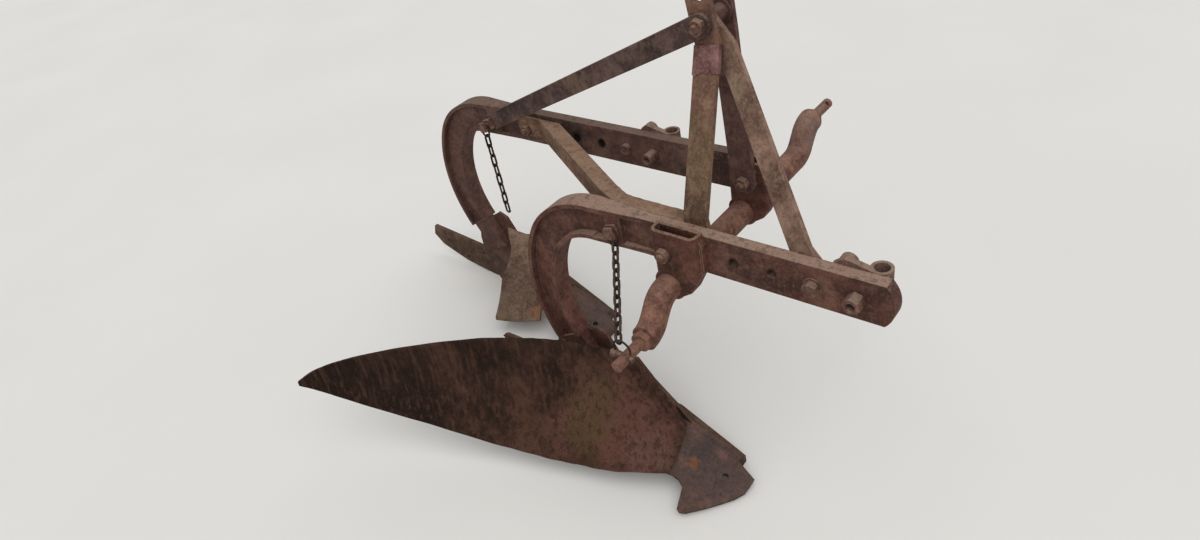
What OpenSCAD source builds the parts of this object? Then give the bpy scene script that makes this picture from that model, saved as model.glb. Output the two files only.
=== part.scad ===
// Two-furrow mounted plough, worn out: the rear mouldboard, both shares and both disc coulters are gone.
// Millimetres. The working axes are X forward, Y to the left and Z up, and start on the front beam's
// right face, at its foremost bolt and half its height. set_down() puts the plough on its floor.

/* [Beams] */
// Depth of the plain bar of a beam
beam_h = 79; // [76:1:84]
// Thickness of the plain bar
beam_t = 24; // [20:1:28]
// Height of the bar's middle over the floor
beam_mid_h = 597; // [590:1:640]
// How far the rear body stands behind the front one
body_lag = 568; // [540:1:620]
// Furrow width, from one beam to the other
furrow_w = 261.5; // [250:0.5:290]
// Front beam ahead of its foremost bolt
nose_front = 62; // [56:1:80]
// Rear beam ahead of its foremost bolt hole
nose_rear = 288; // [280:1:300]
// Radius of a beam's rounded front end
nose_r = 57; // [50:1:70]
// Spacing of the bolt holes
hole_pitch = 73; // [70:1:76]
// Diameter of the bolt holes
hole_d = 17; // [12:0.5:20]

/* [Goosenecks] */
// Depth of the I-section round the neck
neck_h = 76; // [72:1:79]
// Width of the neck's flanges
flange_w = 44; // [40:1:50]
// Thickness of the flanges
flange_t = 9; // [7:0.5:12]
// Thickness of the web
web_t = 10; // [8:0.5:14]
// Where the bar passes into the neck, behind the foremost bolt
neck_start = 530; // [520:1:540]
// Length of the bar's taper in front of the neck
neck_taper = 120; // [100:1:130]
// Outer radius of the shoulder of the neck
neck_r1 = 205; // [200:1:210]
// Outer radius of the back of the neck
neck_r2 = 320; // [312:1:328]
// Turn of the shoulder, in degrees
neck_turn1 = 60; // [58:1:62]
// Turn of the back, in degrees
neck_turn2 = 59; // [57:1:61]
// Length of the straight leg below the neck
leg_len = 96; // [88:1:100]
// Front beam's chain bolt behind the foremost bolt
chain_bolt_x = 476; // [470:1:482]
// Rear beam's stay bolt, which carries a chain too, behind its foremost bolt
stay_bolt_x = 488; // [476:1:490]
// Length of the flat pad round the chain bolt
chain_pad_l = 34; // [26:1:44]

/* [Cross shaft] */
// Shaft behind the foremost bolt
shaft_x = 340; // [335:1:345]
// Diameter of the shaft
shaft_d = 51; // [46:1:54]
// Gap between the beams' undersides and the shaft
shaft_seat = 4; // [1:0.5:6]
// Distance between the shoulders of the two link pins
shoulder_span = 683; // [670:1:700]
// Front link pin's shoulder to the right of the front beam
shoulder_out = 138; // [132:1:150]
// Throw of each cranked end
crank_throw = 55; // [50:1:64]
// Radius of the cranks' bends
crank_r = 42; // [36:1:46]
// Angle of the cranks, in degrees
crank_a = 52; // [48:1:58]
// Diameter of the link pins
pin_d = 22.2; // [19:0.1:25.4]
// Length of a link pin beyond its shoulder
pin_len = 70; // [64:1:80]
// Diameter of the pins' shoulders
shoulder_d = 38; // [34:1:42]
// Diameter of the linch pin holes
linch_hole_d = 12; // [11:0.5:12.5]
// Right linch pin hole beyond its shoulder
linch_hole_right = 42; // [38:1:54]
// Left linch pin hole beyond its shoulder
linch_hole_left = 54; // [38:1:56]
// Turn of the left hole from the level, in degrees
linch_hole_turn = 45; // [0:5:90]
// Length of the collar between a crank and its pin's shoulder
collar_l = 13; // [8:1:20]

/* [Shaft clamps] */
// Length of a clamp along its beam
clamp_l = 94; // [90:1:100]
// Clamp behind the shaft's axis
clamp_back = 30; // [28:1:33]
// How far a clamp stands out from its beam
clamp_out = 30; // [26:1:34]
// Wall of the clamp's pocket
clamp_wall = 6; // [4:0.5:8]
// Clamp's rim above the beam's top
clamp_rise = 8; // [3:1:14]
// Wall of the clamp round the shaft
clamp_grip = 7; // [6:0.5:10]
// Radius of the clamp's upright corners
clamp_corner = 14; // [8:1:20]
// Front clamp's bolt behind the foremost bolt
clamp_bolt_x = 347; // [344:1:352]

/* [Mast] */
// Top link bore above the cross shaft
mast_h = 457; // [440:1:480]
// Top link bore behind the foremost bolt
mast_x = 355; // [348:1:360]
// Head bolt below the top link bore
head_drop = 45; // [44:1:50]
// Diameter of the top link bore
top_bore_d = 19.3; // [19:0.1:25.5]
// Gap between the cheeks of the fork
fork_gap = 52; // [46:1:58]
// Width of the right leg
bar_w = 40; // [36:1:44]
// Width of the left leg
left_leg_w = 50; // [44:1:54]
// Width of the upright
upright_w = 48; // [44:1:52]
// Thickness of the mast's flat bars
bar_t = 10; // [8:0.5:12]
// Foot of the left leg behind the foremost bolt
left_foot_x = 326; // [318:1:332]
// Foot of the upright behind the foremost bolt
upright_foot_x = 300; // [296:1:304]
// Width of the rear stay
stay_w = 41; // [36:1:46]
// Diameter of the bolt through the mast's head
head_bolt_d = 16; // [12:0.5:18]
// Diameter of the spacer tube in the fork
spacer_d = 30; // [26:1:34]
// Thickness of the torn sheet sleeve round the upright
sleeve_t = 1.5; // [1:0.5:2]
// Length of the sleeve
sleeve_l = 46; // [30:1:60]

/* [Brace] */
// Height of the brace's upright leg
brace_h = 50; // [44:1:56]
// Width of the brace's flat leg
brace_w = 34; // [28:1:40]
// Thickness of the brace
brace_t = 7; // [5:0.5:9]
// Top of the brace over the middle of the beams
brace_top = 30; // [26:1:34]
// Brace's rear bolt behind the rear beam's foremost bolt
brace_bolt_x = 371; // [360:1:380]

/* [Bodies] */
// Thickness of the frog's nose
nose_t = 12; // [8:0.5:14]
// Slope of the share seat, in degrees
seat_slope = 23.5; // [22.5:0.1:24.5]
// Heading of the share seat's fall, in degrees to the right of the travel
seat_turn = 31.7; // [31:0.1:32.4]
// Diameter of the share's bolt hole
share_hole_d = 14; // [10:0.5:18]
// Thickness of the frog's upright walls
wall_t = 8; // [7:0.5:8.5]
// Thickness of the frog's face behind the mouldboard
face_t = 9; // [7:0.5:12]
// Thickness of the mouldboard
board_t = 7; // [5:0.5:8]
// Thickness of the landside
land_t = 11; // [9:0.5:14]
// Landside's tail behind the foremost bolt
land_x = 987; // [982:1:1010]
// Diameter of the landside's holes
land_hole_d = 13; // [9:0.5:16]
// Diameter of the mouldboard's stay
board_stay_d = 20; // [16:1:24]

/* [Coulter brackets] */
// Length of a coulter bracket
bracket_l = 80; // [76:1:84]
// Outer diameter of the stalk's socket
bracket_out = 36; // [34:1:40]
// Socket ahead of the foremost bolt
socket_x = 22; // [22:1:26]
// Diameter of the coulter's stalk bore
stalk_d = 25; // [20:0.5:26]

/* [Chains] */
// Thickness of the chains' wire
wire_d = 4; // [3.4:0.2:4.4]
// Pitch of the front chain's links
front_pitch = 13.6; // [13:0.1:14.2]
// Pitch of the rear chain's links
rear_pitch = 19; // [17:0.1:20]
// Rear chain's end below its bolt
rear_chain_l = 250; // [200:1:270]
// Free play between two links
link_gap = 0.5; // [0.3:0.1:0.9]
// Outer diameter of the linch pin's ring
ring_d = 40; // [36:1:44]

/* [Hidden] */

// Clearance between pieces that are bolted or clamped face to face
seat = 0.3;
half_h = beam_h / 2;
beam_mid_y = beam_t / 2;
web_y = beam_mid_y - web_t / 2;
flange_y = beam_mid_y - flange_w / 2;
hole_x = [0, -hole_pitch, -2 * hole_pitch, -3 * hole_pitch];
floor_z = -beam_mid_h;

// Centres of the neck's two arcs, in the XZ plane, the second tangent to the first
arc1 = [-neck_start, half_h - neck_r1];
arc1_end = 90 + neck_turn1;
arc2 = arc1 + (neck_r1 - neck_r2) * [cos(arc1_end), sin(arc1_end)];
leg_a = arc1_end + neck_turn2;
leg_top = arc2 + neck_r2 * [cos(leg_a), sin(leg_a)];
leg_down = [-sin(leg_a), cos(leg_a)];
leg_in = -[cos(leg_a), sin(leg_a)];
// A point s down the leg and w inwards from its outer side
function leg_at(s, w) = leg_top + s * leg_down + w * leg_in;

// Straight length between a crank's two bends, and the whole crank's length along the shaft
crank_rest = (crank_throw - 2 * crank_r * (1 - cos(crank_a))) / sin(crank_a);
crank_run = 2 * crank_r * sin(crank_a) + crank_rest * cos(crank_a);
// The bends stand this much proud of the straight shaft
bend_swell = 0.2;
shaft_z = -half_h - shaft_seat - shaft_d / 2;
pin_right_y = -shoulder_out;
pin_left_y = pin_right_y + shoulder_span;
mast_mid_y = (pin_right_y + pin_left_y) / 2;
top_z = shaft_z + mast_h;
top_at = [-mast_x, top_z];

// The head bolt lies below the bore, on the upright's middle line
upright_foot = [-upright_foot_x, 0];
head_bolt = top_at - head_drop * (top_at - upright_foot) / norm(top_at - upright_foot);
// Right faces of the bars in the mast's head: the left leg, the fork, the right leg, the upright, the stay
left_leg_y = mast_mid_y + fork_gap / 2;
upright_y = mast_mid_y - fork_gap / 2 - bar_t;
right_leg_y = upright_y + bar_t + seat;
stay_y = upright_y - seat - bar_t;
// Right faces of what is bolted on the beam's left face, and of the frog's wall and the landside
left_face_y = beam_t + seat;
wall_y = left_face_y;
land_y = wall_y + wall_t + seat;
// Right side of the frog's toe, under the nose
toe_y = 4;
// Holes of the landside: x, and height over the floor
land_holes = [[-922, 73], [-841, 34], [-755, 74]];

// How far the nose reaches down its slope from its tip, where it meets the floor
nose_fall = 17;
// Tip of the frog's nose
nose_tip = [-214, -9, floor_z + nose_fall * sin(seat_slope) + nose_t * cos(seat_slope)];
// Outline of the nose on the share seat: down its fall from the tip, and to the left
nose_outline = [[-3, 5], [7, -11], [15, -27], [nose_fall, -52], [15, -77], [11, -115], [3, -160],
    [-3, -171], [-13, -173], [-30, -159], [-51, -142], [-66, -143], [-79, -150], [-94, -163],
    [-178, -82], [-164, -68], [-123, -45], [-83, -28], [-52, -7]];
share_hole = [-33, -49];

// Rows of the mouldboard: lower edge x, y, z, upper edge x, y, z, and the hollow between them
board_rows = [
    [-380, 5, -505, -504, 20, -375, 3],
    [-362, -67, -529, -538, -4, -345, 12],
    [-360, -107, -539, -580, -30, -325, 22],
    [-467, -155, -548, -613, -56, -308, 27],
    [-556, -182, -552, -655, -82, -297, 28],
    [-643, -209, -548, -706, -112, -291, 26],
    [-755, -241, -539, -792, -159, -289, 22],
    [-924, -298, -504, -928, -249, -295, 14],
    [-1084, -360, -460, -1082, -334, -331, 7],
    [-1168, -399, -424, -1168, -388, -362, 3],
    [-1210, -424, -402, -1210, -424, -390, 0]];
board_last = len(board_rows) - 1;
// The lower edge turns sharply at this row, where the board leaves the share's seam
board_corner = 2;
// Columns and rows of the mouldboard's grid
board_nu = 40;
board_nv = 8;
// Direction that the board's working face looks
board_facing = [0.35, -1, 0.2];
// The frog's face: from and to these rows, its lower and upper edges by row, and its grid
face_u0 = 0.5;
face_u1 = 3.6;
face_low = [[2.05, 0.22], [2.3, 0.02]];
face_high = [[1.3, 1], [3.1, 0.42], [3.6, 0.05]];
face_nu = 16;
face_nv = 6;
// Where the stay meets the board's wing
stay_u = 6;
stay_v = 0.45;
// Bolts that carry the chains: their diameter, their right ends, the room for their nuts
chain_bolt_d = hole_d - 2 * seat;
bolt_end_l = 16;
stay_bolt_l = 30;
bolt_nut_l = 18;
// The chains' shackles: length and end radius of the wire's middle line, its thickness, its play
shackle_l = 38;
shackle_wire = 4.5;
shackle_gap = 0.5;
shackle_r = (chain_bolt_d + shackle_wire) / 2 + 2.5 * shackle_gap;
// End radius of a link's wire
link_r = 1.2 * wire_d;
wing_reach = -board_rows[board_last][1];

// The plough's extent, for its place on the floor
reach_front = nose_front;
reach_back = body_lag + land_x;
reach_left = pin_left_y + pin_len;
shift_x = (reach_back - reach_front) / 2;
shift_y = (wing_reach - reach_left) / 2;

rust = [0.36, 0.24, 0.19];
dark_rust = [0.27, 0.19, 0.16];
red_oxide = [0.45, 0.26, 0.21];
old_sheet = [0.55, 0.33, 0.30];
chain_black = [0.17, 0.13, 0.11];

module set_down() translate([shift_x, shift_y, beam_mid_h]) children();
module on_rear_body() translate([-body_lag, furrow_w, 0]) children();

// A flat outline given in X and Z, raised to the left from y
module side_plate(y, t) translate([0, y + t, 0]) rotate([90, 0, 0]) linear_extrude(t) children();

// A flat bar from p to q, w wide, with a round end at each
module bar_outline(p, q, w) {
    d = q - p;
    translate(p) rotate(atan2(d[1], d[0])) translate([0, -w / 2]) square([norm(d), w]);
    for (end = [p, q]) translate(end) circle(d = w, $fn = 48);
}

// A bore along Y at x, z
module bore_y(x, z, d, y0, y1)
    translate([x, y1, z]) rotate([90, 0, 0]) cylinder(d = d, h = y1 - y0, $fn = 48);

// A bent band of thickness t along a path, mitred at its bends
function left_of(d) = [-d[1], d[0]] / norm(d);
function beside(path, i, h) = let (
    m = left_of(path[max(i, 1)] - path[max(i, 1) - 1])
        + left_of(path[min(i + 1, len(path) - 1)] - path[min(i + 1, len(path) - 1) - 1]))
    path[i] + 2 * h * m / (m * m);
module band(path, t) polygon(concat(
    [for (i = [0 : len(path) - 1]) beside(path, i, t / 2)],
    [for (i = [len(path) - 1 : -1 : 0]) beside(path, i, -t / 2)]));

// The part of a ring between two radii, in the XZ plane, from one angle on by turn
module ring_part(centre, r0, r1, from, turn) translate(centre) difference() {
    intersection() {
        circle(r = r1, $fn = 180);
        polygon([[0, 0], 2 * r1 * [cos(from), sin(from)], 2 * r1 * [cos(from + turn / 2), sin(from + turn / 2)],
                 2 * r1 * [cos(from + turn), sin(from + turn)]]);
    }
    circle(r = r0, $fn = 180);
}
// What lies between the depths w0 and w1 from the outer side of the neck, in the XZ plane, less an
// angle short at its lower end
module neck_strip(w0, w1, short = 0) {
    ring_part(arc1, neck_r1 - w1, neck_r1 - w0, 90, neck_turn1);
    ring_part(arc2, neck_r2 - w1, neck_r2 - w0, arc1_end, neck_turn2 - short);
}
// The neck: an I-section round its two arcs
module neck() {
    side_plate(flange_y, flange_w) neck_strip(0, flange_t);
    side_plate(flange_y, flange_w) neck_strip(neck_h - flange_t, neck_h);
    side_plate(web_y, web_t) neck_strip(1, neck_h - 1, 0.25);
}

// How far a beam has widened on each side at x, where it passes into the neck
function widened(x) = -flange_y * min(1, max(0, (-x - neck_start + neck_taper) / neck_taper));

// The straight bar, which widens towards the neck
module bar(front) {
    narrow = neck_taper - neck_start;
    intersection() {
        translate([0, 0, -half_h]) linear_extrude(beam_h) polygon([
            [-neck_start, flange_y], [narrow, 0], [front, 0], [front, beam_t], [narrow, beam_t],
            [-neck_start, flange_y + flange_w]]);
        side_plate(flange_y, flange_w) intersection() {
            polygon([[-neck_start, half_h - neck_h], [narrow, -half_h], [front, -half_h],
                     [front, half_h], [-neck_start, half_h]]);
            union() {
                translate([front - nose_r, 0]) circle(r = nose_r, $fn = 96);
                translate([-neck_start, -half_h]) square([neck_start + front - nose_r, beam_h]);
            }
        }
    }
}

// Hollows on both sides of the bar, from x0 to x1, as deep as the web leaves them
module bar_hollows(x0, x1)
    for (y = [flange_y - 1, web_y + web_t])
        translate([x0, y, flange_t - half_h + 1])
            cube([x1 - x0, web_y - flange_y + 1, beam_h - 2 * flange_t - 2]);

// The leg below the neck: a flat foot, a little narrower than the flanges that end above it
module leg() {
    root = 3;
    step = 2;
    side_plate(0, beam_t) polygon([leg_at(-root, step), leg_at(leg_len, step),
                                   leg_at(leg_len, neck_h - step), leg_at(-root, neck_h - step)]);
}

module beam(front, pad_x) {
    difference() {
        union() {
            difference() {
                bar(front);
                bar_hollows(-neck_start - 1, -pad_x - chain_pad_l / 2);
                bar_hollows(chain_pad_l / 2 - pad_x, -shaft_x - clamp_l / 2);
            }
            neck();
            leg();
        }
        for (x = hole_x) bore_y(x, 0, hole_d, -1, beam_t + 1);
        bore_y(-pad_x, 0, hole_d, flange_y - 1, flange_y + flange_w + 1);
    }
}
module beam_front() color(rust) beam(nose_front, chain_bolt_x);
// The rear beam has the same row of holes one body further back
module beam_rear() color(rust) on_rear_body() beam(nose_rear, stay_bolt_x);

// One cranked end, from the straight shaft towards +X and +Y, with its shoulder and link pin
module cranked_end(hole_at, hole_turn) {
    module bend(from) rotate([0, 0, from]) rotate_extrude(angle = crank_a, $fn = 96)
        translate([crank_r, 0]) circle(d = shaft_d + 2 * bend_swell, $fn = 64);
    difference() {
        union() {
            translate([0, crank_r, 0]) bend(-90);
            translate(crank_r * [sin(crank_a), 1 - cos(crank_a), 0]) rotate([0, 0, crank_a])
                rotate([0, 90, 0]) translate([0, 0, -1])
                    cylinder(d = shaft_d, h = crank_rest + 2, $fn = 64);
            translate([crank_run, crank_throw - crank_r, 0]) bend(90);
            translate([crank_run - 1, crank_throw, 0]) rotate([0, 90, 0])
                cylinder(d = shoulder_d, h = collar_l + 1, $fn = 64);
            translate([crank_run + collar_l - 1, crank_throw, 0]) rotate([0, 90, 0])
                cylinder(d = pin_d, h = pin_len + 1, $fn = 64);
        }
        translate([crank_run + collar_l + hole_at, crank_throw, 0]) rotate([-hole_turn, 0, 0])
            translate([0, 0, -pin_d]) cylinder(d = linch_hole_d, h = 2 * pin_d, $fn = 48);
    }
}
module cross_shaft() color(dark_rust) translate([-shaft_x, 0, shaft_z]) {
    start = pin_right_y + collar_l + crank_run;
    end = pin_left_y - collar_l - crank_run;
    bore_y(0, 0, shaft_d, start - 1, end + 1);
    translate([0, end, 0]) rotate([90, 0, 90]) cranked_end(linch_hole_left, linch_hole_turn);
    translate([0, start, 0]) rotate([180, 0, 0]) rotate([90, 0, 90]) cranked_end(linch_hole_right, 0);
}

// A clamp's cup on the beam's right face, open at the top, and its grip round the shaft
module shaft_clamp(bolt_x) {
    grip_r = shaft_d / 2 + seat + clamp_grip;
    back = -shaft_x - clamp_back;
    front = back + clamp_l;
    lobe = 5;
    rim = half_h + clamp_rise;
    // The cup from the side, and from above with its two outer corners rounded, less an inset
    module profile(inset) polygon([
        [back + inset, rim + min(inset, 1)], [front + lobe - inset, rim + min(inset, 1)],
        [front + lobe - inset, -30], [front - 16 - inset, -72 + 2 * inset],
        [-shaft_x + 14 - inset, shaft_z - grip_r + 6 + 2 * inset],
        [-shaft_x - grip_r + 2 + inset, shaft_z + inset]]);
    module plan(inset) {
        r = clamp_corner - inset;
        for (x = [back + clamp_corner, front - clamp_corner])
            translate([x, -seat - clamp_out + clamp_corner]) circle(r = r, $fn = 48);
        translate([back + clamp_corner, -seat - clamp_out + inset]) square([clamp_l - 2 * clamp_corner, 2 * r]);
        translate([back + inset, -seat - clamp_out + clamp_corner])
            square([clamp_l - 2 * inset, clamp_out - clamp_corner - inset]);
    }
    module cup(inset) intersection() {
        side_plate(-2 * clamp_out, 2 * clamp_out) profile(inset);
        translate([0, 0, 2 * shaft_z]) linear_extrude(4 * half_h - 2 * shaft_z) plan(inset);
    }
    difference() {
        union() {
            cup(0);
            side_plate(-seat - clamp_out / 2, clamp_out / 2) polygon([[front - 1, half_h - 3],
                [front + lobe, half_h - 12], [front + lobe, -30], [front - 16, -72], [front - 20, 0]]);
            translate([-shaft_x, beam_t + clamp_wall, shaft_z]) rotate([90, 0, 0])
                cylinder(r = grip_r, h = beam_t + clamp_wall + seat + clamp_out - 2, $fn = 96);
        }
        difference() {
            cup(clamp_wall);
            translate([-shaft_x, 0, shaft_z]) rotate([90, 0, 0])
                cylinder(r = grip_r, h = clamp_out + 1, $fn = 96);
        }
        bore_y(-shaft_x, shaft_z, shaft_d + 2 * seat, -clamp_out - 10, beam_t + 20);
        translate([-shaft_x - 100, -seat, -half_h - seat]) cube([200, beam_t + 20, beam_h]);
        bore_y(bolt_x, 0, hole_d, -clamp_out - 1, 1);
    }
}
module shaft_clamp_front() color(red_oxide) shaft_clamp(-clamp_bolt_x);
module shaft_clamp_rear() color(red_oxide) translate([0, furrow_w, 0]) shaft_clamp(-left_foot_x);

// A mast bar of width w from p to q in the XZ plane, with round ends, bent only sideways: its path is
// pairs of y and distance along the line from p towards q
module mast_bar(p, q, w, path) {
    d = q - p;
    translate([p[0], 0, p[1]]) rotate([0, atan2(d[0], d[1]), 0]) intersection() {
        rotate([90, 0, 90]) translate([0, 0, -w / 2 - 1]) linear_extrude(w + 2) band(path, bar_t);
        side_plate(-shoulder_span, 2 * shoulder_span) bar_outline([0, 0], [0, norm(d)], w);
    }
}
module mast_leg_right() color(dark_rust) difference() {
    foot = [hole_x[1], 0];
    run = norm(head_bolt - foot);
    y0 = left_face_y + bar_t / 2;
    y1 = right_leg_y + bar_t / 2;
    mast_bar(foot, head_bolt, bar_w, [[y0, -bar_w], [y0, 52], [y1, run - 56], [y1, run + bar_w]]);
    bore_y(foot[0], 0, hole_d, y0 - bar_t, y0 + bar_t);
    bore_y(head_bolt[0], head_bolt[1], head_bolt_d, y1 - bar_t, y1 + bar_t);
}
module mast_leg_left() color(dark_rust) difference() {
    foot = [-left_foot_x, 8];
    run = norm(top_at - foot);
    y0 = furrow_w - 2 * seat - clamp_out - bar_t / 2;
    y1 = left_leg_y + bar_t / 2;
    mast_bar(foot, top_at, left_leg_w, [[y0, -left_leg_w], [y0, 70], [y1, 300], [y1, run + left_leg_w]]);
    bore_y(foot[0], 0, hole_d, y0 - bar_t, y0 + bar_t);
    for (hole = [[head_bolt, head_bolt_d], [top_at, top_bore_d]])
        bore_y(hole[0][0], hole[0][1], hole[1], y1 - bar_t, y1 + bar_t);
}
// The upright leans from the front beam to the fork
upright_path = [[left_face_y + bar_t / 2, -upright_w], [left_face_y + bar_t / 2, 52],
    [upright_y + bar_t / 2, norm(top_at - upright_foot) - head_drop - stay_w / 2 - 16],
    [upright_y + bar_t / 2, norm(top_at - upright_foot) + upright_w]];
module mast_upright() color(rust) difference() {
    y0 = upright_path[0][0];
    y1 = upright_path[3][0];
    mast_bar(upright_foot, top_at, upright_w, upright_path);
    bore_y(upright_foot[0], 0, hole_d, y0 - bar_t, y0 + bar_t);
    for (hole = [[head_bolt, head_bolt_d], [top_at, top_bore_d]])
        bore_y(hole[0][0], hole[0][1], hole[1], y1 - bar_t, y1 + bar_t);
}
// A tube on the head bolt that keeps the fork apart, with a washer at the left leg
module mast_spacer() color(dark_rust) {
    from = right_leg_y + bar_t + seat;
    to = left_leg_y - seat;
    difference() {
        union() {
            bore_y(head_bolt[0], head_bolt[1], spacer_d, from, to);
            bore_y(head_bolt[0], head_bolt[1], spacer_d + 12, to - 4, to);
        }
        bore_y(head_bolt[0], head_bolt[1], head_bolt_d, from - 1, to + 1);
    }
}
module rear_stay() color(rust) difference() {
    foot = [-body_lag - stay_bolt_x, 0];
    run = norm(head_bolt - foot);
    y0 = furrow_w - widened(-stay_bolt_x - stay_w / 2) - seat - bar_t / 2;
    y1 = stay_y + bar_t / 2;
    mast_bar(foot, head_bolt, stay_w, [[y0, -stay_w], [y0, 40], [y1, run - 36], [y1, run + stay_w]]);
    bore_y(foot[0], 0, hole_d, y0 - bar_t, y0 + bar_t);
    bore_y(head_bolt[0], head_bolt[1], head_bolt_d, y1 - bar_t, y1 + bar_t);
}
// What is left of a sheet sleeve round the leaning upright, just below the stay's end
module torn_sleeve() {
    lean = upright_path[2] - upright_path[1];
    a = atan2(top_at[0] - upright_foot[0], top_at[1] - upright_foot[1]);
    slack = 0.5;
    top = norm(lean) - 11;
    module around(t, z0, z1) translate([-upright_w / 2 - t, -bar_t / 2 - t, z0])
        cube([upright_w + 2 * t, bar_t + 2 * t, z1 - z0]);
    color(old_sheet) translate([upright_foot[0], 0, upright_foot[1]]) rotate([0, a, 0])
        translate([0, upright_path[1][0], upright_path[1][1]])
            rotate([-atan2(lean[0], lean[1]), 0, 0]) difference() {
                around(slack + sleeve_t, top - sleeve_l, top);
                around(slack, top - sleeve_l - 1, top + 1);
            }
}

// An angle iron between the beams: its upright leg is bolted to both, its flat leg stops short of them
module beam_brace() {
    face = furrow_w - seat - brace_t / 2;
    near = [[-436, left_face_y + widened(-436) + brace_t / 2],
            [-500, left_face_y + widened(-500) + brace_t / 2]];
    far = [[-892, face], [-966, face]];
    path = concat(near, far);
    flat_gap = 3;
    slant = far[0] - near[1];
    color(rust) difference() {
        union() {
            translate([0, 0, brace_top - brace_h]) linear_extrude(brace_h) band(path, brace_t);
            translate([0, 0, brace_top - brace_t]) linear_extrude(brace_t) intersection() {
                translate(near[1]) rotate(atan2(slant[1], slant[0])) translate([-brace_w, brace_t / 2 - brace_w])
                    square([norm(slant) + 2 * brace_w, brace_w - brace_t / 2]);
                translate([far[1][0], flange_y + flange_w + flat_gap])
                    square([-far[1][0], furrow_w - flange_y - flange_w - 2 * flat_gap]);
            }
        }
        bore_y(-chain_bolt_x, 0, hole_d, near[0][1] - 20, near[0][1] + 20);
        bore_y(-body_lag - brace_bolt_x, brace_top - brace_h / 2 - 8, land_hole_d, face - 20, face + 20);
    }
}

// Height of the share seat's plane at x, y
function seat_height(x, y) = nose_tip[2] - tan(seat_slope)
    * ((x - nose_tip[0]) * cos(seat_turn) - (y - nose_tip[1]) * sin(seat_turn));
// The toe's upper edge lies inside the nose
function toe_point(x) = [x, seat_height(x, toe_y) - nose_t / 2];
// The frog: an upright wall on the leg's foot, and the bare nose that carried the share
frog_wall = [[-262, floor_z], toe_point(-262), toe_point(-380), [-400, -500], [-474, -430], [-512, -380],
    [-533, -385], [-568, -384], [-590, -340], [-618, -329], leg_at(4, neck_h + 8),
    leg_at(4, -8), [-735, -450], [-735, -520], [-700, floor_z]];
module frog() {
    side_plate(wall_y, wall_t) polygon(frog_wall);
    side_plate(toe_y, wall_y - toe_y + 1) polygon([[-262, floor_z], toe_point(-262),
        toe_point(-380), [-410, -514], [-420, floor_z]]);
    difference() {
        translate(nose_tip) rotate([0, 0, -seat_turn]) rotate([0, seat_slope, 0])
            translate([0, 0, -nose_t]) linear_extrude(nose_t) polygon(nose_outline);
        translate(nose_tip) rotate([0, 0, -seat_turn]) rotate([0, seat_slope, 0])
            translate([share_hole[0], share_hole[1], -nose_t - 1])
                cylinder(d = share_hole_d, h = nose_t + 2, $fn = 48);
    }
}
module frog_front() color(dark_rust) frog();
module frog_rear() color(rust) on_rear_body() frog();

module landside() difference() {
    side_plate(land_y, land_t) polygon([[-262, floor_z], [-735, floor_z], [-854, floor_z + 16],
        [-957, floor_z + 51], [-land_x, floor_z + 83], [14 - land_x, floor_z + 118],
        [-737, floor_z + 99], [-420, floor_z + 100], [-300, floor_z + 40], [-262, floor_z + 20]]);
    for (hole = land_holes) bore_y(hole[0], floor_z + hole[1], land_hole_d, land_y - 1, land_y + land_t + 1);
}
module landside_front() color(rust) landside();
module landside_rear() color(rust) on_rear_body() landside();

// A smooth line through four points, between the second and the third
function through(a, b, c, d, t) =
    (2 * b + (c - a) * t + (2 * a - 5 * b + 4 * c - d) * t * t + (3 * b - a - 3 * c + d) * t * t * t) / 2;
// A row's end on the lower edge (0) or the upper edge (1)
function row_end(i, edge) = [for (j = [0 : 2]) board_rows[i][3 * edge + j]];
function turns(i, edge) = edge == 0 && i == board_corner;
function row_before(i, edge) = i == 0 || turns(i, edge)
    ? 2 * row_end(i, edge) - row_end(i + 1, edge) : row_end(i - 1, edge);
function row_after(i, edge) = i == board_last || turns(i, edge)
    ? 2 * row_end(i, edge) - row_end(i - 1, edge) : row_end(i + 1, edge);
function edge_at(u, edge) = let (i = min(floor(u), board_last - 1))
    through(row_before(i, edge), row_end(i, edge), row_end(i + 1, edge), row_after(i + 1, edge), u - i);
// The working face: u counts the rows from the shin to the tail, v goes from the lower edge to the upper
function board_at(u, v) = let (
    low = edge_at(u, 0), chord = edge_at(u, 1) - low,
    across = board_facing - chord * (board_facing * chord) / (chord * chord),
    hollow = lookup(u, [for (i = [0 : board_last]) [i, board_rows[i][6]]]))
    low + v * chord - 4 * v * (1 - v) * hollow * across / norm(across);
// Unit vector from the working face to the back
function board_back(u, v) = let (
    e = 0.02, n = cross(board_at(min(u + e, board_last), v) - board_at(max(u - e, 0), v),
                        board_at(u, v + e) - board_at(u, v - e)))
    n / norm(n);
// A curved plate between the depths d0 and d1 behind the working face, with its columns given as
// u, v at the lower edge, v at the upper edge
module curved_plate(columns, nv, d0, d1) {
    nc = len(columns);
    function layer(d) = [for (c = columns) for (j = [0 : nv])
        let (v = c[1] + (c[2] - c[1]) * j / nv) board_at(c[0], v) + d * board_back(c[0], v)];
    closed_plate(concat(layer(d0), layer(d1)), nc, nv);
}
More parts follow.
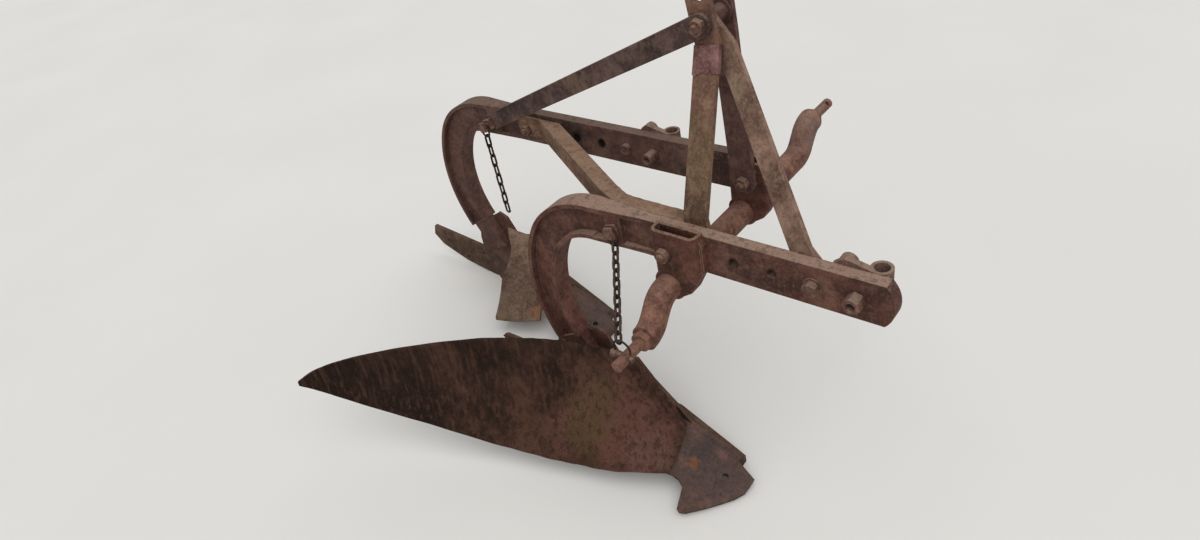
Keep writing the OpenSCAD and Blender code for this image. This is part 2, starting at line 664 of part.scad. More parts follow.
// A closed solid from two equal grids of points, each nc columns of nv + 1 points
module closed_plate(points, nc, nv) {
    m = nv + 1;
    b = nc * m;
    polyhedron(points, concat(
        [for (i = [0 : nc - 2]) for (j = [0 : nv - 1])
            each [[i * m + j, (i + 1) * m + j, (i + 1) * m + j + 1], [i * m + j, (i + 1) * m + j + 1, i * m + j + 1]]],
        [for (i = [0 : nc - 2]) for (j = [0 : nv - 1])
            each [[b + i * m + j, b + (i + 1) * m + j + 1, b + (i + 1) * m + j],
                  [b + i * m + j, b + i * m + j + 1, b + (i + 1) * m + j + 1]]],
        [for (i = [0 : nc - 2]) each [
            [i * m, b + i * m, b + (i + 1) * m], [i * m, b + (i + 1) * m, (i + 1) * m],
            [i * m + nv, b + (i + 1) * m + nv, b + i * m + nv], [i * m + nv, (i + 1) * m + nv, b + (i + 1) * m + nv]]],
        [for (j = [0 : nv - 1]) each [
            [j, j + 1, b + j + 1], [j, b + j + 1, b + j],
            [(nc - 1) * m + j, b + (nc - 1) * m + j + 1, (nc - 1) * m + j + 1],
            [(nc - 1) * m + j, b + (nc - 1) * m + j, b + (nc - 1) * m + j + 1]]]));
}
module mouldboard() color(dark_rust)
    curved_plate([for (i = [0 : board_nu]) [board_last * i / board_nu, 0, 1]], board_nv, 0, board_t);

// The frog's face behind the board, from the wall to a slanted rear edge
module frog_face() {
    d0 = board_t + 2 * seat;
    columns = [for (i = [0 : face_nu]) let (u = face_u0 + (face_u1 - face_u0) * i / face_nu)
        [u, lookup(u, face_low), lookup(u, face_high)]];
    function layer(d, back) = [
        for (j = [0 : face_nv]) let (c = columns[0], v = c[1] + (c[2] - c[1]) * j / face_nv,
            shin = board_at(0, v)) [shin[0] - 10 - back, wall_y - seat, shin[2] - 2],
        for (c = columns) for (j = [0 : face_nv])
            let (v = c[1] + (c[2] - c[1]) * j / face_nv) board_at(c[0], v) + d * board_back(c[0], v)];
    closed_plate(concat(layer(d0, 0), layer(d0 + face_t, face_t)), face_nu + 2, face_nv);
}
module frog_face_front() color(dark_rust) frog_face();
module frog_face_rear() color(rust) on_rear_body() frog_face();

// A round stay with a pad at each end, from the frog's wall to the back of the board's wing
module board_stay() color(dark_rust) {
    pad = 8;
    n = board_back(stay_u, stay_v);
    q = board_at(stay_u, stay_v) + (board_t + 4 * seat) * n;
    p = [-690, wall_y - seat, -505];
    from = p - [0, pad - 1, 0];
    d = q + (pad - 1) * n - from;
    translate(p) rotate([90, 0, 0]) cylinder(d = 44, h = pad, $fn = 48);
    translate(q) rotate([0, acos(n[2]), atan2(n[1], n[0])]) cylinder(d = 44, h = pad, $fn = 48);
    translate(from) rotate([0, acos(d[2] / norm(d)), atan2(d[1], d[0])])
        cylinder(d = board_stay_d, h = norm(d), $fn = 48);
}

// A coulter bracket: a plate on the beam's left face with the socket of the stalk and a round rear lug,
// and a saddle between the two above the beam
module coulter_bracket() difference() {
    socket_y = left_face_y + bracket_out / 2;
    lug_x = 48 - bracket_l;
    lug_r = 15;
    plate_t = 12;
    union() {
        side_plate(left_face_y, plate_t) difference() {
            polygon([[lug_x - lug_r, 36 - beam_h], [socket_x + 12, 36 - beam_h], [socket_x + 16, -30],
                     [socket_x + 16, half_h - 4], [lug_x, half_h + 12], [lug_x - lug_r - 6, half_h - 5]]);
            translate([(lug_x + socket_x) / 2 + 6, half_h + 21]) circle(r = 16, $fn = 48);
        }
        translate([socket_x, socket_y, 34 - beam_h]) cylinder(d = bracket_out, h = beam_h + 6, $fn = 64);
        bore_y(lug_x, half_h - 6, 2 * lug_r, left_face_y, left_face_y + 2 * plate_t);
    }
    translate([socket_x, socket_y, -beam_h]) cylinder(d = stalk_d, h = 2 * beam_h, $fn = 64);
    bore_y(0, 0, hole_d, left_face_y - 1, left_face_y + 13);
}
module coulter_bracket_front() color(rust) coulter_bracket();
module coulter_bracket_rear() color(rust) on_rear_body() coulter_bracket();

// One oval link along X, flat in the XY plane, with a wire of few sides: length and end radius are
// those of the wire's middle line
module oval(length, r, wire) {
    bows = 3;
    sides = 5;
    half = length / 2 - r * cos(90 / bows);
    corners = [for (end = [0, 1]) for (i = [0 : bows]) let (a = -90 + 180 * end + 180 / bows * i)
        [(end == 0 ? half : -half) + r * cos(a), r * sin(a), a]];
    rings = [for (c = corners) for (j = [0 : sides - 1]) let (b = 180 + 360 / sides * j)
        [c[0] + wire / 2 * cos(b) * cos(c[2]), c[1] + wire / 2 * cos(b) * sin(c[2]), wire / 2 * sin(b)]];
    n = len(corners);
    polyhedron(rings, [for (i = [0 : n - 1]) for (j = [0 : sides - 1])
        let (k = (j + 1) % sides, a = i * sides, b = (i + 1) % n * sides)
        each [[a + j, a + k, b + k], [a + j, b + k, b + j]]]);
}
// The turn about d that makes an oval's axis look along hook, the wire that passes through the oval
function turn_to(d, hook) = let (a = atan2(d[1], d[0]), y = [-sin(a), cos(a), 0], z = cross(d, y) / norm(d))
    atan2(-(hook * y), hook * z);
// Puts what lies along X at the middle, along the direction d, turned about it
module along(middle, d, turn) translate(middle)
    rotate([0, -asin(d[2] / norm(d)), atan2(d[1], d[0])]) rotate([turn, 0, 0]) children();
// A chain of links from p to q, sagging by the given depth, every second link turned on edge. Its ends
// pass round wires that run along hook_p and hook_q, and its twist is spread over the links.
module chain(p, q, pitch, sag, hook_p, hook_q) {
    n = round(norm(q - p) / pitch);
    function at(t) = p + t * (q - p) - [0, 0, 4 * sag * t * (1 - t)];
    function link(i) = at((i + 1) / n) - at(i / n);
    first = turn_to(link(0), hook_p);
    spare = turn_to(link(n - 1), hook_q) - first - 90 * (n - 1);
    twist = spare - 180 * round(spare / 180);
    for (i = [0 : n - 1])
        along(at((i + 0.5) / n), link(i), first + 90 * i + twist * i / (n - 1))
            oval(norm(link(i)) + wire_d + link_gap, link_r, wire_d);
}
// A bolt along Y whose end, right of the point at, carries a chain by a shackle, and the chain to its end
module hung_chain(at, out, grip, hang, to, pitch, sag, hook) {
    down = hang / norm(hang);
    reach = shackle_l - (chain_bolt_d / sqrt(1 - down[1] * down[1]) + shackle_wire) / 2 - shackle_gap;
    low = at - [0, out - bolt_end_l / 2, 0] + reach * down;
    bore_y(at[0], at[2], chain_bolt_d, at[1] - out, at[1] + grip);
    along(low - shackle_l / 2 * down, down, turn_to(down, [0, 1, 0])) oval(shackle_l, shackle_r, shackle_wire);
    chain(low + (link_gap - shackle_wire) / 2 * (to - low) / norm(to - low), to, pitch, sag,
          cross([0, 1, 0], down), hook);
}
module chain_front() color(chain_black) {
    out = widened(-chain_bolt_x - chain_bolt_d / 2);
    hung_chain([-chain_bolt_x, -out - seat, 0], bolt_end_l, 2 * out + beam_t + brace_t + bolt_nut_l, [0.45, -0.28, -0.85],
               ring_end, front_pitch, 3, [-sin(ring_top_a), 0, cos(ring_top_a)]);
}
module chain_rear() color(chain_black) {
    out = widened(-stay_bolt_x - stay_w / 2);
    at = [-body_lag - stay_bolt_x, furrow_w - out - bar_t - 2 * seat, 0];
    hung_chain(at, stay_bolt_l, 2 * out + beam_t + bar_t + bolt_nut_l, [0, 0, -1],
               [at[0], at[1] - stay_bolt_l + bolt_end_l / 2, -rear_chain_l], rear_pitch, 0, [1, 0, 0]);
}
// The linch pin lies level in the right link pin, its flat head to the rear
linch_at = [-shaft_x, pin_right_y - linch_hole_right, shaft_z - crank_throw];
module linch_pin() color(dark_rust) translate(linch_at) rotate([0, -90, 0]) {
    translate([0, 0, -pin_d / 2 - 6]) cylinder(d = linch_hole_d - 1, h = pin_d + 22, $fn = 48);
    translate([0, 0, pin_d / 2 + 8]) cylinder(d = linch_hole_d + 4, h = 14, $fn = 48);
}
// The spring ring of the linch pin, from its head over the link pin, and where the chain takes it
ring_mid = linch_at + [-5, 0, ring_d / 2 - wire_d / 2 + 1.5];
ring_top_a = 105;
ring_top = ring_mid + (ring_d - wire_d) / 2 * [cos(ring_top_a), 0, sin(ring_top_a)];
ring_end = ring_top + (wire_d / 2 + 2 * link_gap) * (ring_top + [chain_bolt_x, 0, 0])
    / norm(ring_top + [chain_bolt_x, 0, 0]);
module linch_ring() color(chain_black) translate(ring_mid) rotate([90, 0, 0]) rotate([0, 0, -25])
    rotate_extrude(angle = 235, $fn = 48) translate([(ring_d - wire_d) / 2, 0]) circle(d = wire_d, $fn = 24);

set_down() beam_front();
set_down() beam_rear();
set_down() cross_shaft();
set_down() shaft_clamp_front();
set_down() shaft_clamp_rear();
set_down() mast_leg_right();
set_down() mast_leg_left();
set_down() mast_upright();
set_down() mast_spacer();
set_down() rear_stay();
set_down() beam_brace();
set_down() torn_sleeve();
set_down() frog_front();
set_down() frog_rear();
set_down() frog_face_front();
set_down() frog_face_rear();
set_down() landside_front();
set_down() landside_rear();
set_down() mouldboard();
set_down() board_stay();
set_down() coulter_bracket_front();
set_down() coulter_bracket_rear();
set_down() chain_front();
set_down() chain_rear();
set_down() linch_pin();
set_down() linch_ring();
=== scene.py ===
"""Looks of an old two-furrow plough: rusted beams, mast, bare frogs, one mouldboard, chains and bolts.

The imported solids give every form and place. This script gives them their rust, worn edges, old red
oxide and lichen, and adds what the solids leave plain: the smooth curved plates, round chain links,
threaded bolts, nuts, the torn sleeve, the brace's upper flange and a landside's worn tail. Lengths are
in metres in the row's frame: +X forward, +Y to the left, +Z up. Places written in millimetres are on the
plough's own axes, with the origin on the front beam's right face at its foremost bolt, and row() turns
them into the row's frame.
"""
from __future__ import annotations

import logging
import math
from dataclasses import dataclass
from enum import Enum

import bpy
import numpy as np
from mathutils import Matrix

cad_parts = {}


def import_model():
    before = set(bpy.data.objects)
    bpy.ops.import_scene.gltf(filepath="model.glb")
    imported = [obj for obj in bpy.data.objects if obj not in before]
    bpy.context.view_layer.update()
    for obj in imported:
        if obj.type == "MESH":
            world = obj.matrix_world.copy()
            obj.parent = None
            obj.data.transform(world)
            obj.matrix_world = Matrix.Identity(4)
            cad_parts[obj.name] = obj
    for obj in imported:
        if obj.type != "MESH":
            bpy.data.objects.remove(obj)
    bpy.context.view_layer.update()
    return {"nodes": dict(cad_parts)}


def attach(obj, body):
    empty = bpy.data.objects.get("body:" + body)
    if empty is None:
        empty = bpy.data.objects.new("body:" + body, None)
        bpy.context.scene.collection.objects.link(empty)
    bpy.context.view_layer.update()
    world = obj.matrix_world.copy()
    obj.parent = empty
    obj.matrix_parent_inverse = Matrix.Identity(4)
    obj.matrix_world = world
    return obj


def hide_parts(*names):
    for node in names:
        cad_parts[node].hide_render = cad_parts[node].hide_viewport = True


LOG = logging.getLogger("plough")
MM = 0.001
# From the plough's own origin to the row's, and from the front body to the rear one, in millimetres
ROW_SHIFT = np.array([746.5, -95.5, 597.0])
REAR_SHIFT = np.array([-568.0, 261.5, 0.0])

Colour = tuple[float, float, float]
Point = tuple[float, float, float]
Limits = tuple[float, float]
Socket = bpy.types.NodeSocket

RIGHT: Point = (0.0, -1.0, 0.0)
LEFT: Point = (0.0, 1.0, 0.0)


class Body(Enum):
    """Which of the plough's two bodies a piece belongs to."""

    FRONT = "front"
    REAR = "rear"

    @property
    def shift(self) -> np.ndarray:
        """Shift of this body from the front one, in millimetres."""
        return REAR_SHIFT if self is Body.REAR else np.zeros(3)


class Shape(Enum):
    """Shapes of the fasteners' ends."""

    HEX_HEAD = "hex head"
    NUT_AND_END = "nut with the bolt's end"
    TUBE_NUT = "long nut with an open end"
    SLEEVE_NUT = "round sleeve with an open end"
    WASHER = "washer"


def row(points: np.ndarray | Point, body: Body = Body.FRONT) -> np.ndarray:
    """Turns points on the plough's axes, in millimetres, into the row's frame, in metres.

    Args:
        points: one point or an array of points, x, y, z last.
        body: the body that the points are meant on.

    Returns:
        The points in metres.
    """
    return (np.asarray(points, float) + ROW_SHIFT + body.shift) * MM


def unit(vectors: np.ndarray) -> np.ndarray:
    """Vectors of length 1 along the given ones."""
    return vectors / np.linalg.norm(vectors, axis=-1, keepdims=True)


def linear(colour: Colour) -> tuple[float, float, float, float]:
    """Turns a colour as it looks on a screen, 0 to 1, into the shader's linear light.

    Args:
        colour: red, green and blue as seen.

    Returns:
        Linear red, green, blue and a full alpha.
    """
    c = np.asarray(colour, float)
    low, high = c / 12.92, ((c + 0.055) / 1.055) ** 2.4
    return (*np.where(c <= 0.04045, low, high).tolist(), 1.0)


# ---- finishes


class Shade:
    """Builds the node tree of one material by short calls, on Object coordinates."""

    def __init__(self, name: str) -> None:
        """Starts an empty material of that name."""
        self.material = bpy.data.materials.new(name)
        self.material.use_nodes = True
        self.tree = self.material.node_tree
        self.tree.nodes.clear()
        self.place = self.node("ShaderNodeTexCoord").outputs["Object"]

    def node(self, kind: str, inputs: dict[str | int, object] | None = None,
             **settings: object) -> bpy.types.Node:
        """Adds a node, sets its properties, and links or writes its inputs.

        Args:
            kind: Blender's name of the node.
            inputs: for an input's name or number, a socket to link or a constant to write.
            settings: properties of the node.

        Returns:
            The new node.
        """
        made = self.tree.nodes.new(kind)
        for key, value in settings.items():
            setattr(made, key, value)
        for key, value in (inputs or {}).items():
            if isinstance(value, Socket):
                self.tree.links.new(value, made.inputs[key])
            else:
                made.inputs[key].default_value = value
        return made

    def maths(self, what: str, a: object, b: object) -> Socket:
        """One step of arithmetic, by Blender's name of it, on numbers or sockets."""
        return self.node("ShaderNodeMath", {0: a, 1: b}, operation=what).outputs[0]

    def plus(self, a: object, b: Socket, factor: float) -> Socket:
        """The sum a + factor * b."""
        return self.maths("ADD", a, self.maths("MULTIPLY", b, factor))

    def stretch(self, scale: Point, shift: Point = (0.0, 0.0, 0.0)) -> Socket:
        """Object coordinates times a scale on each axis, plus a shift."""
        inputs = {"Vector": self.place, "Scale": scale, "Location": shift}
        return self.node("ShaderNodeMapping", inputs).outputs[0]

    def noise(self, scale: float, detail: float, rough: float, where: Socket | None = None) -> Socket:
        """Cloudy noise between 0 and 1, most of it near a half.

        Args:
            scale: clouds to a metre.
            detail: finer layers on top of the first.
            rough: share of the finer layers.
            where: coordinates, or the object's own.

        Returns:
            The noise's socket.
        """
        inputs = {"Vector": self.place if where is None else where,
                  "Scale": scale, "Detail": detail, "Roughness": rough}
        return self.node("ShaderNodeTexNoise", inputs, noise_dimensions="3D").outputs["Fac"]

    def cells(self, scale: float) -> Socket:
        """Distance to the nearest of scattered points, so many to a metre, in cells."""
        inputs = {"Vector": self.place, "Scale": scale}
        return self.node("ShaderNodeTexVoronoi", inputs, feature="F1").outputs["Distance"]

    def band(self, value: Socket, limits: Limits) -> Socket:
        """Smooth step from 0 at the first limit to 1 at the second, which may lie above or below it.

        Args:
            value: the number to test.
            limits: where the step is 0, and where it is 1.

        Returns:
            The step's socket.
        """
        ends = (*limits, 0.0, 1.0) if limits[0] < limits[1] else (*limits[::-1], 1.0, 0.0)
        inputs = {"Value": value, **dict(zip(("From Min", "From Max", "To Min", "To Max"), ends))}
        made = self.node("ShaderNodeMapRange", inputs, interpolation_type="SMOOTHSTEP", clamp=True)
        return made.outputs["Result"]

    def blend(self, share: Socket, under: object, over: object) -> Socket:
        """Lays one colour over another, by the share of the upper one that shows."""
        inputs = {"Factor": share, "A": under, "B": over}
        return self.node("ShaderNodeMix", inputs, data_type="RGBA", clamp_factor=True).outputs["Result"]

    def tint(self, under: Socket, mask: Socket, amount: float, colour: Colour) -> Socket:
        """Lays a plain colour over another, by a mask and an amount."""
        return self.blend(self.maths("MULTIPLY", mask, amount), under, linear(colour))

    def ramp(self, value: Socket, stops: dict[float, Colour]) -> Socket:
        """Colours along a number.

        Args:
            value: the number, 0 to 1.
            stops: the colour of each place, in order.

        Returns:
            The colour's socket.
        """
        made = self.node("ShaderNodeValToRGB", {"Fac": value})
        elements = made.color_ramp.elements
        while len(elements) < len(stops):
            elements.new(0.5)
        for element, (at, colour) in zip(elements, stops.items()):
            element.position, element.color = at, linear(colour)
        return made.outputs["Color"]

    def surface(self, inputs: dict[str, object]) -> bpy.types.Material:
        """Ends the tree in one shader with these inputs, and gives the material."""
        shader = self.node("ShaderNodeBsdfPrincipled", inputs)
        self.node("ShaderNodeOutputMaterial", {"Surface": shader.outputs[0]})
        return self.material


@dataclass(frozen=True)
class Patch:
    """A stain of one colour round one place: orange rust, moss, old paint, or shade painted inside a hole.

    Its place is on the plough's axes, in millimetres, and its reach along each axis in metres. The grain
    is the clouds to a metre that break up its rim, and rim is how far they move it, in reaches.
    """

    at: Point
    reach: Point
    colour: Colour
    amount: float = 0.7
    grain: float = 30.0
    rim: float = 2.4

    def lay(self, shade: Shade, under: Socket) -> Socket:
        """Lays the stain over a colour: full in the middle, gone at its reach, with a cloudy rim.

        Args:
            shade: the material's tree.
            under: the colour below.

        Returns:
            The stained colour.
        """
        scale = tuple(1.0 / r for r in self.reach)
        shift = tuple(-float(c) * s for c, s in zip(row(self.at), scale))
        far = shade.node("ShaderNodeVectorMath", {0: shade.stretch(scale, shift)}, operation="LENGTH")
        cloudy = shade.plus(far.outputs["Value"], shade.noise(self.grain, 5.0, 0.7), self.rim)
        limits = (1.0 + self.rim / 2, 0.35 + self.rim / 2)
        return shade.tint(under, shade.band(cloudy, limits), self.amount, self.colour)


# Scale, detail and roughness of the noises, and the shifts that part those of near scales
FINE_NOISE, GRIT_NOISE, STREAK_NOISE = (190.0, 6.0, 0.7), (900.0, 3.0, 0.6), (1.0, 5.0, 0.6)
WIDE_NOISE, WIDE_SHIFT = (4.2, 4.0, 0.6), (3.1, 7.7, 1.3)
SPECK_NOISE, SPECK_SHIFT = (62.0, 4.0, 0.7), (0.7, 4.4, 2.9)
LICHEN_SHIFT, STREAK_STRETCH = (5.0, 1.7, 9.1), (95.0, 95.0, 5.0)
PIT_SCALE = 260.0
# Where the clouds show the dark, the middle and the light colour
CLOUD_STOPS = (0.37, 0.50, 0.63)
# Limits of the masks' smooth steps
OXIDE, UP_FACING, LICHEN = (0.56, 0.70), (0.90, 1.40), (0.69, 0.80)
STREAK_LIGHT, STREAK_DARK = (0.50, 0.63), (0.50, 0.38)
SPECK_DARK, SPECK_LIGHT = (0.50, 0.34), (0.52, 0.68)
FINE_DARK, FINE_LIGHT, GRIT_LIGHT = (0.50, 0.30), (0.50, 0.68), (0.54, 0.72)
# Worn edges: where the rounded normal leaves the face's own, broken up by the fine noise
EDGE_BEND, EDGE_BREAK = (0.985, 0.86), (0.34, 0.58)
PIT_CELL, PIT_CLOUD, PIT_COLOUR = (0.34, 0.10), (0.46, 0.62), (0.09, 0.06, 0.05)
# Shares of fine noise, grit, pits and clouds in the relief, and its strength and depth, in metres
RELIEF, RELIEF_STRENGTH, RELIEF_DEPTH = (0.9, 0.22, -0.55, 1.1), 0.75, 0.0011
EVEN = (1.0, 1.0, 1.0)


@dataclass(frozen=True)
class Rust:
    """Weathered steel or iron: cloudy rust, a top colour on what looks up, lichen, worn edges and pits.

    A share says how much of its colour shows where it is fullest. clouds and lichen_scale are the clouds
    to a metre, pits and mottle factors of the usual relief and mottling, edge_radius in metres. Patches
    lie under the fine texture, and the shade painted inside a beam's open bores lies over it.
    """

    name: str
    dark: Colour
    middle: Colour
    light: Colour
    clouds: float = 16.0
    top: Colour = (0.52, 0.44, 0.38)
    top_share: float = 0.55
    oxide: Colour = (0.42, 0.22, 0.18)
    oxide_share: float = 0.0
    lichen: Colour = (0.50, 0.46, 0.34)
    lichen_share: float = 0.0
    lichen_scale: float = 45.0
    streaks: float = 0.0
    edge: Colour = (0.50, 0.40, 0.34)
    edge_share: float = 0.45
    edge_radius: float = 0.0016
    pits: float = 1.0
    roughness: float = 0.82
    specular: float = 0.2
    mottle: float = 1.0
    patches: tuple[Patch, ...] = ()
    # Shade painted inside a beam's open bores, laid over everything else
    hole_shade: tuple[Patch, ...] = ()

    def material(self) -> bpy.types.Material:
        """Lays the colours from the lowest to the uppermost, and the relief of pits and grit.

        Returns:
            The finished material.
        """
        s = Shade(self.name)
        cloud = s.noise(self.clouds, 9.0, 0.68)
        fine, grit = s.noise(*FINE_NOISE), s.noise(*GRIT_NOISE)
        wide = s.noise(*WIDE_NOISE, s.stretch(EVEN, WIDE_SHIFT))
        speck = s.noise(*SPECK_NOISE, s.stretch(EVEN, SPECK_SHIFT))
        rounded = s.node("ShaderNodeBevel", {"Radius": self.edge_radius}, samples=4).outputs[0]
        up = s.node("ShaderNodeSeparateXYZ", {0: rounded}).outputs["Z"]
        normals = {0: rounded, 1: s.node("ShaderNodeNewGeometry").outputs["Normal"]}
        bend = s.node("ShaderNodeVectorMath", normals, operation="DOT_PRODUCT").outputs["Value"]
        worn = s.maths("MULTIPLY", s.band(bend, EDGE_BEND), s.band(fine, EDGE_BREAK))
        pitted = s.maths("MULTIPLY", s.band(s.cells(PIT_SCALE), PIT_CELL), s.band(cloud, PIT_CLOUD))

        colour = s.ramp(cloud, dict(zip(CLOUD_STOPS, (self.dark, self.middle, self.light))))
        if self.oxide_share > 0:
            mask = s.band(s.plus(wide, fine, 0.25), OXIDE)
            colour = s.tint(colour, mask, self.oxide_share, self.oxide)
        for patch in self.patches:
            colour = patch.lay(s, colour)
        layers = []
        if self.streaks > 0:
            run = s.noise(*STREAK_NOISE, s.stretch(STREAK_STRETCH))
            layers += [(s.band(run, STREAK_LIGHT), self.streaks, self.light),
                       (s.band(run, STREAK_DARK), self.streaks, self.dark)]
        # The top colour on faces that look up, broken by the fine noise
        layers += [(s.band(s.plus(up, fine, 0.9), UP_FACING), self.top_share, self.top)]
        if self.lichen_share > 0:
            spots = s.noise(self.lichen_scale, 7.0, 0.75, s.stretch(EVEN, LICHEN_SHIFT))
            layers += [(s.band(s.plus(spots, wide, 0.35), LICHEN), self.lichen_share, self.lichen)]
        layers += [
            (s.band(speck, SPECK_DARK), 0.50 * self.mottle, self.dark),
            (s.band(speck, SPECK_LIGHT), 0.45 * self.mottle, self.light),
            (worn, self.edge_share, self.edge),
            (s.band(fine, FINE_DARK), 0.50, self.dark),
            (s.band(fine, FINE_LIGHT), 0.45 * self.mottle, self.light),
            (s.band(grit, GRIT_LIGHT), 0.40, self.light),
            (pitted, 0.40, PIT_COLOUR)]
        for mask, amount, over in layers:
            colour = s.tint(colour, mask, amount, over)
        # Shade painted inside a beam's open bores, laid last, over the worn edges
        for hole in self.hole_shade:
            colour = hole.lay(s, colour)

        height: Socket | float = 0.0
        for relief, share in zip((fine, grit, pitted, cloud), RELIEF):
            height = s.plus(height, relief, share)
        bump = s.node("ShaderNodeBump", {
            "Strength": RELIEF_STRENGTH, "Distance": RELIEF_DEPTH * self.pits, "Height": height,
            "Normal": rounded})
        return s.surface({
            "Base Color": colour, "Metallic": 0.0, "Specular IOR Level": self.specular,
            "Roughness": s.plus(self.roughness - 0.12, fine, 0.24), "Normal": bump.outputs[0]})


def painted_hole_shade(places: tuple[tuple[float, float], ...], body: Body = Body.FRONT) -> tuple[Patch, ...]:
    """Paints shade inside the open bores through a beam.

    Args:
        places: x and z of each hole, in millimetres.
        body: the body whose beam has them.

    Returns:
        A patch of painted shade for each hole, an oval that just reaches past its wall.
    """
    at = np.array([(x, 12.0, z) for x, z in places]) + body.shift
    # Near-black painted shade at full amount
    return tuple(Patch(tuple(p), (0.014, 0.080, 0.014), (0.06, 0.045, 0.038), 1.0, 5.0) for p in at.tolist())
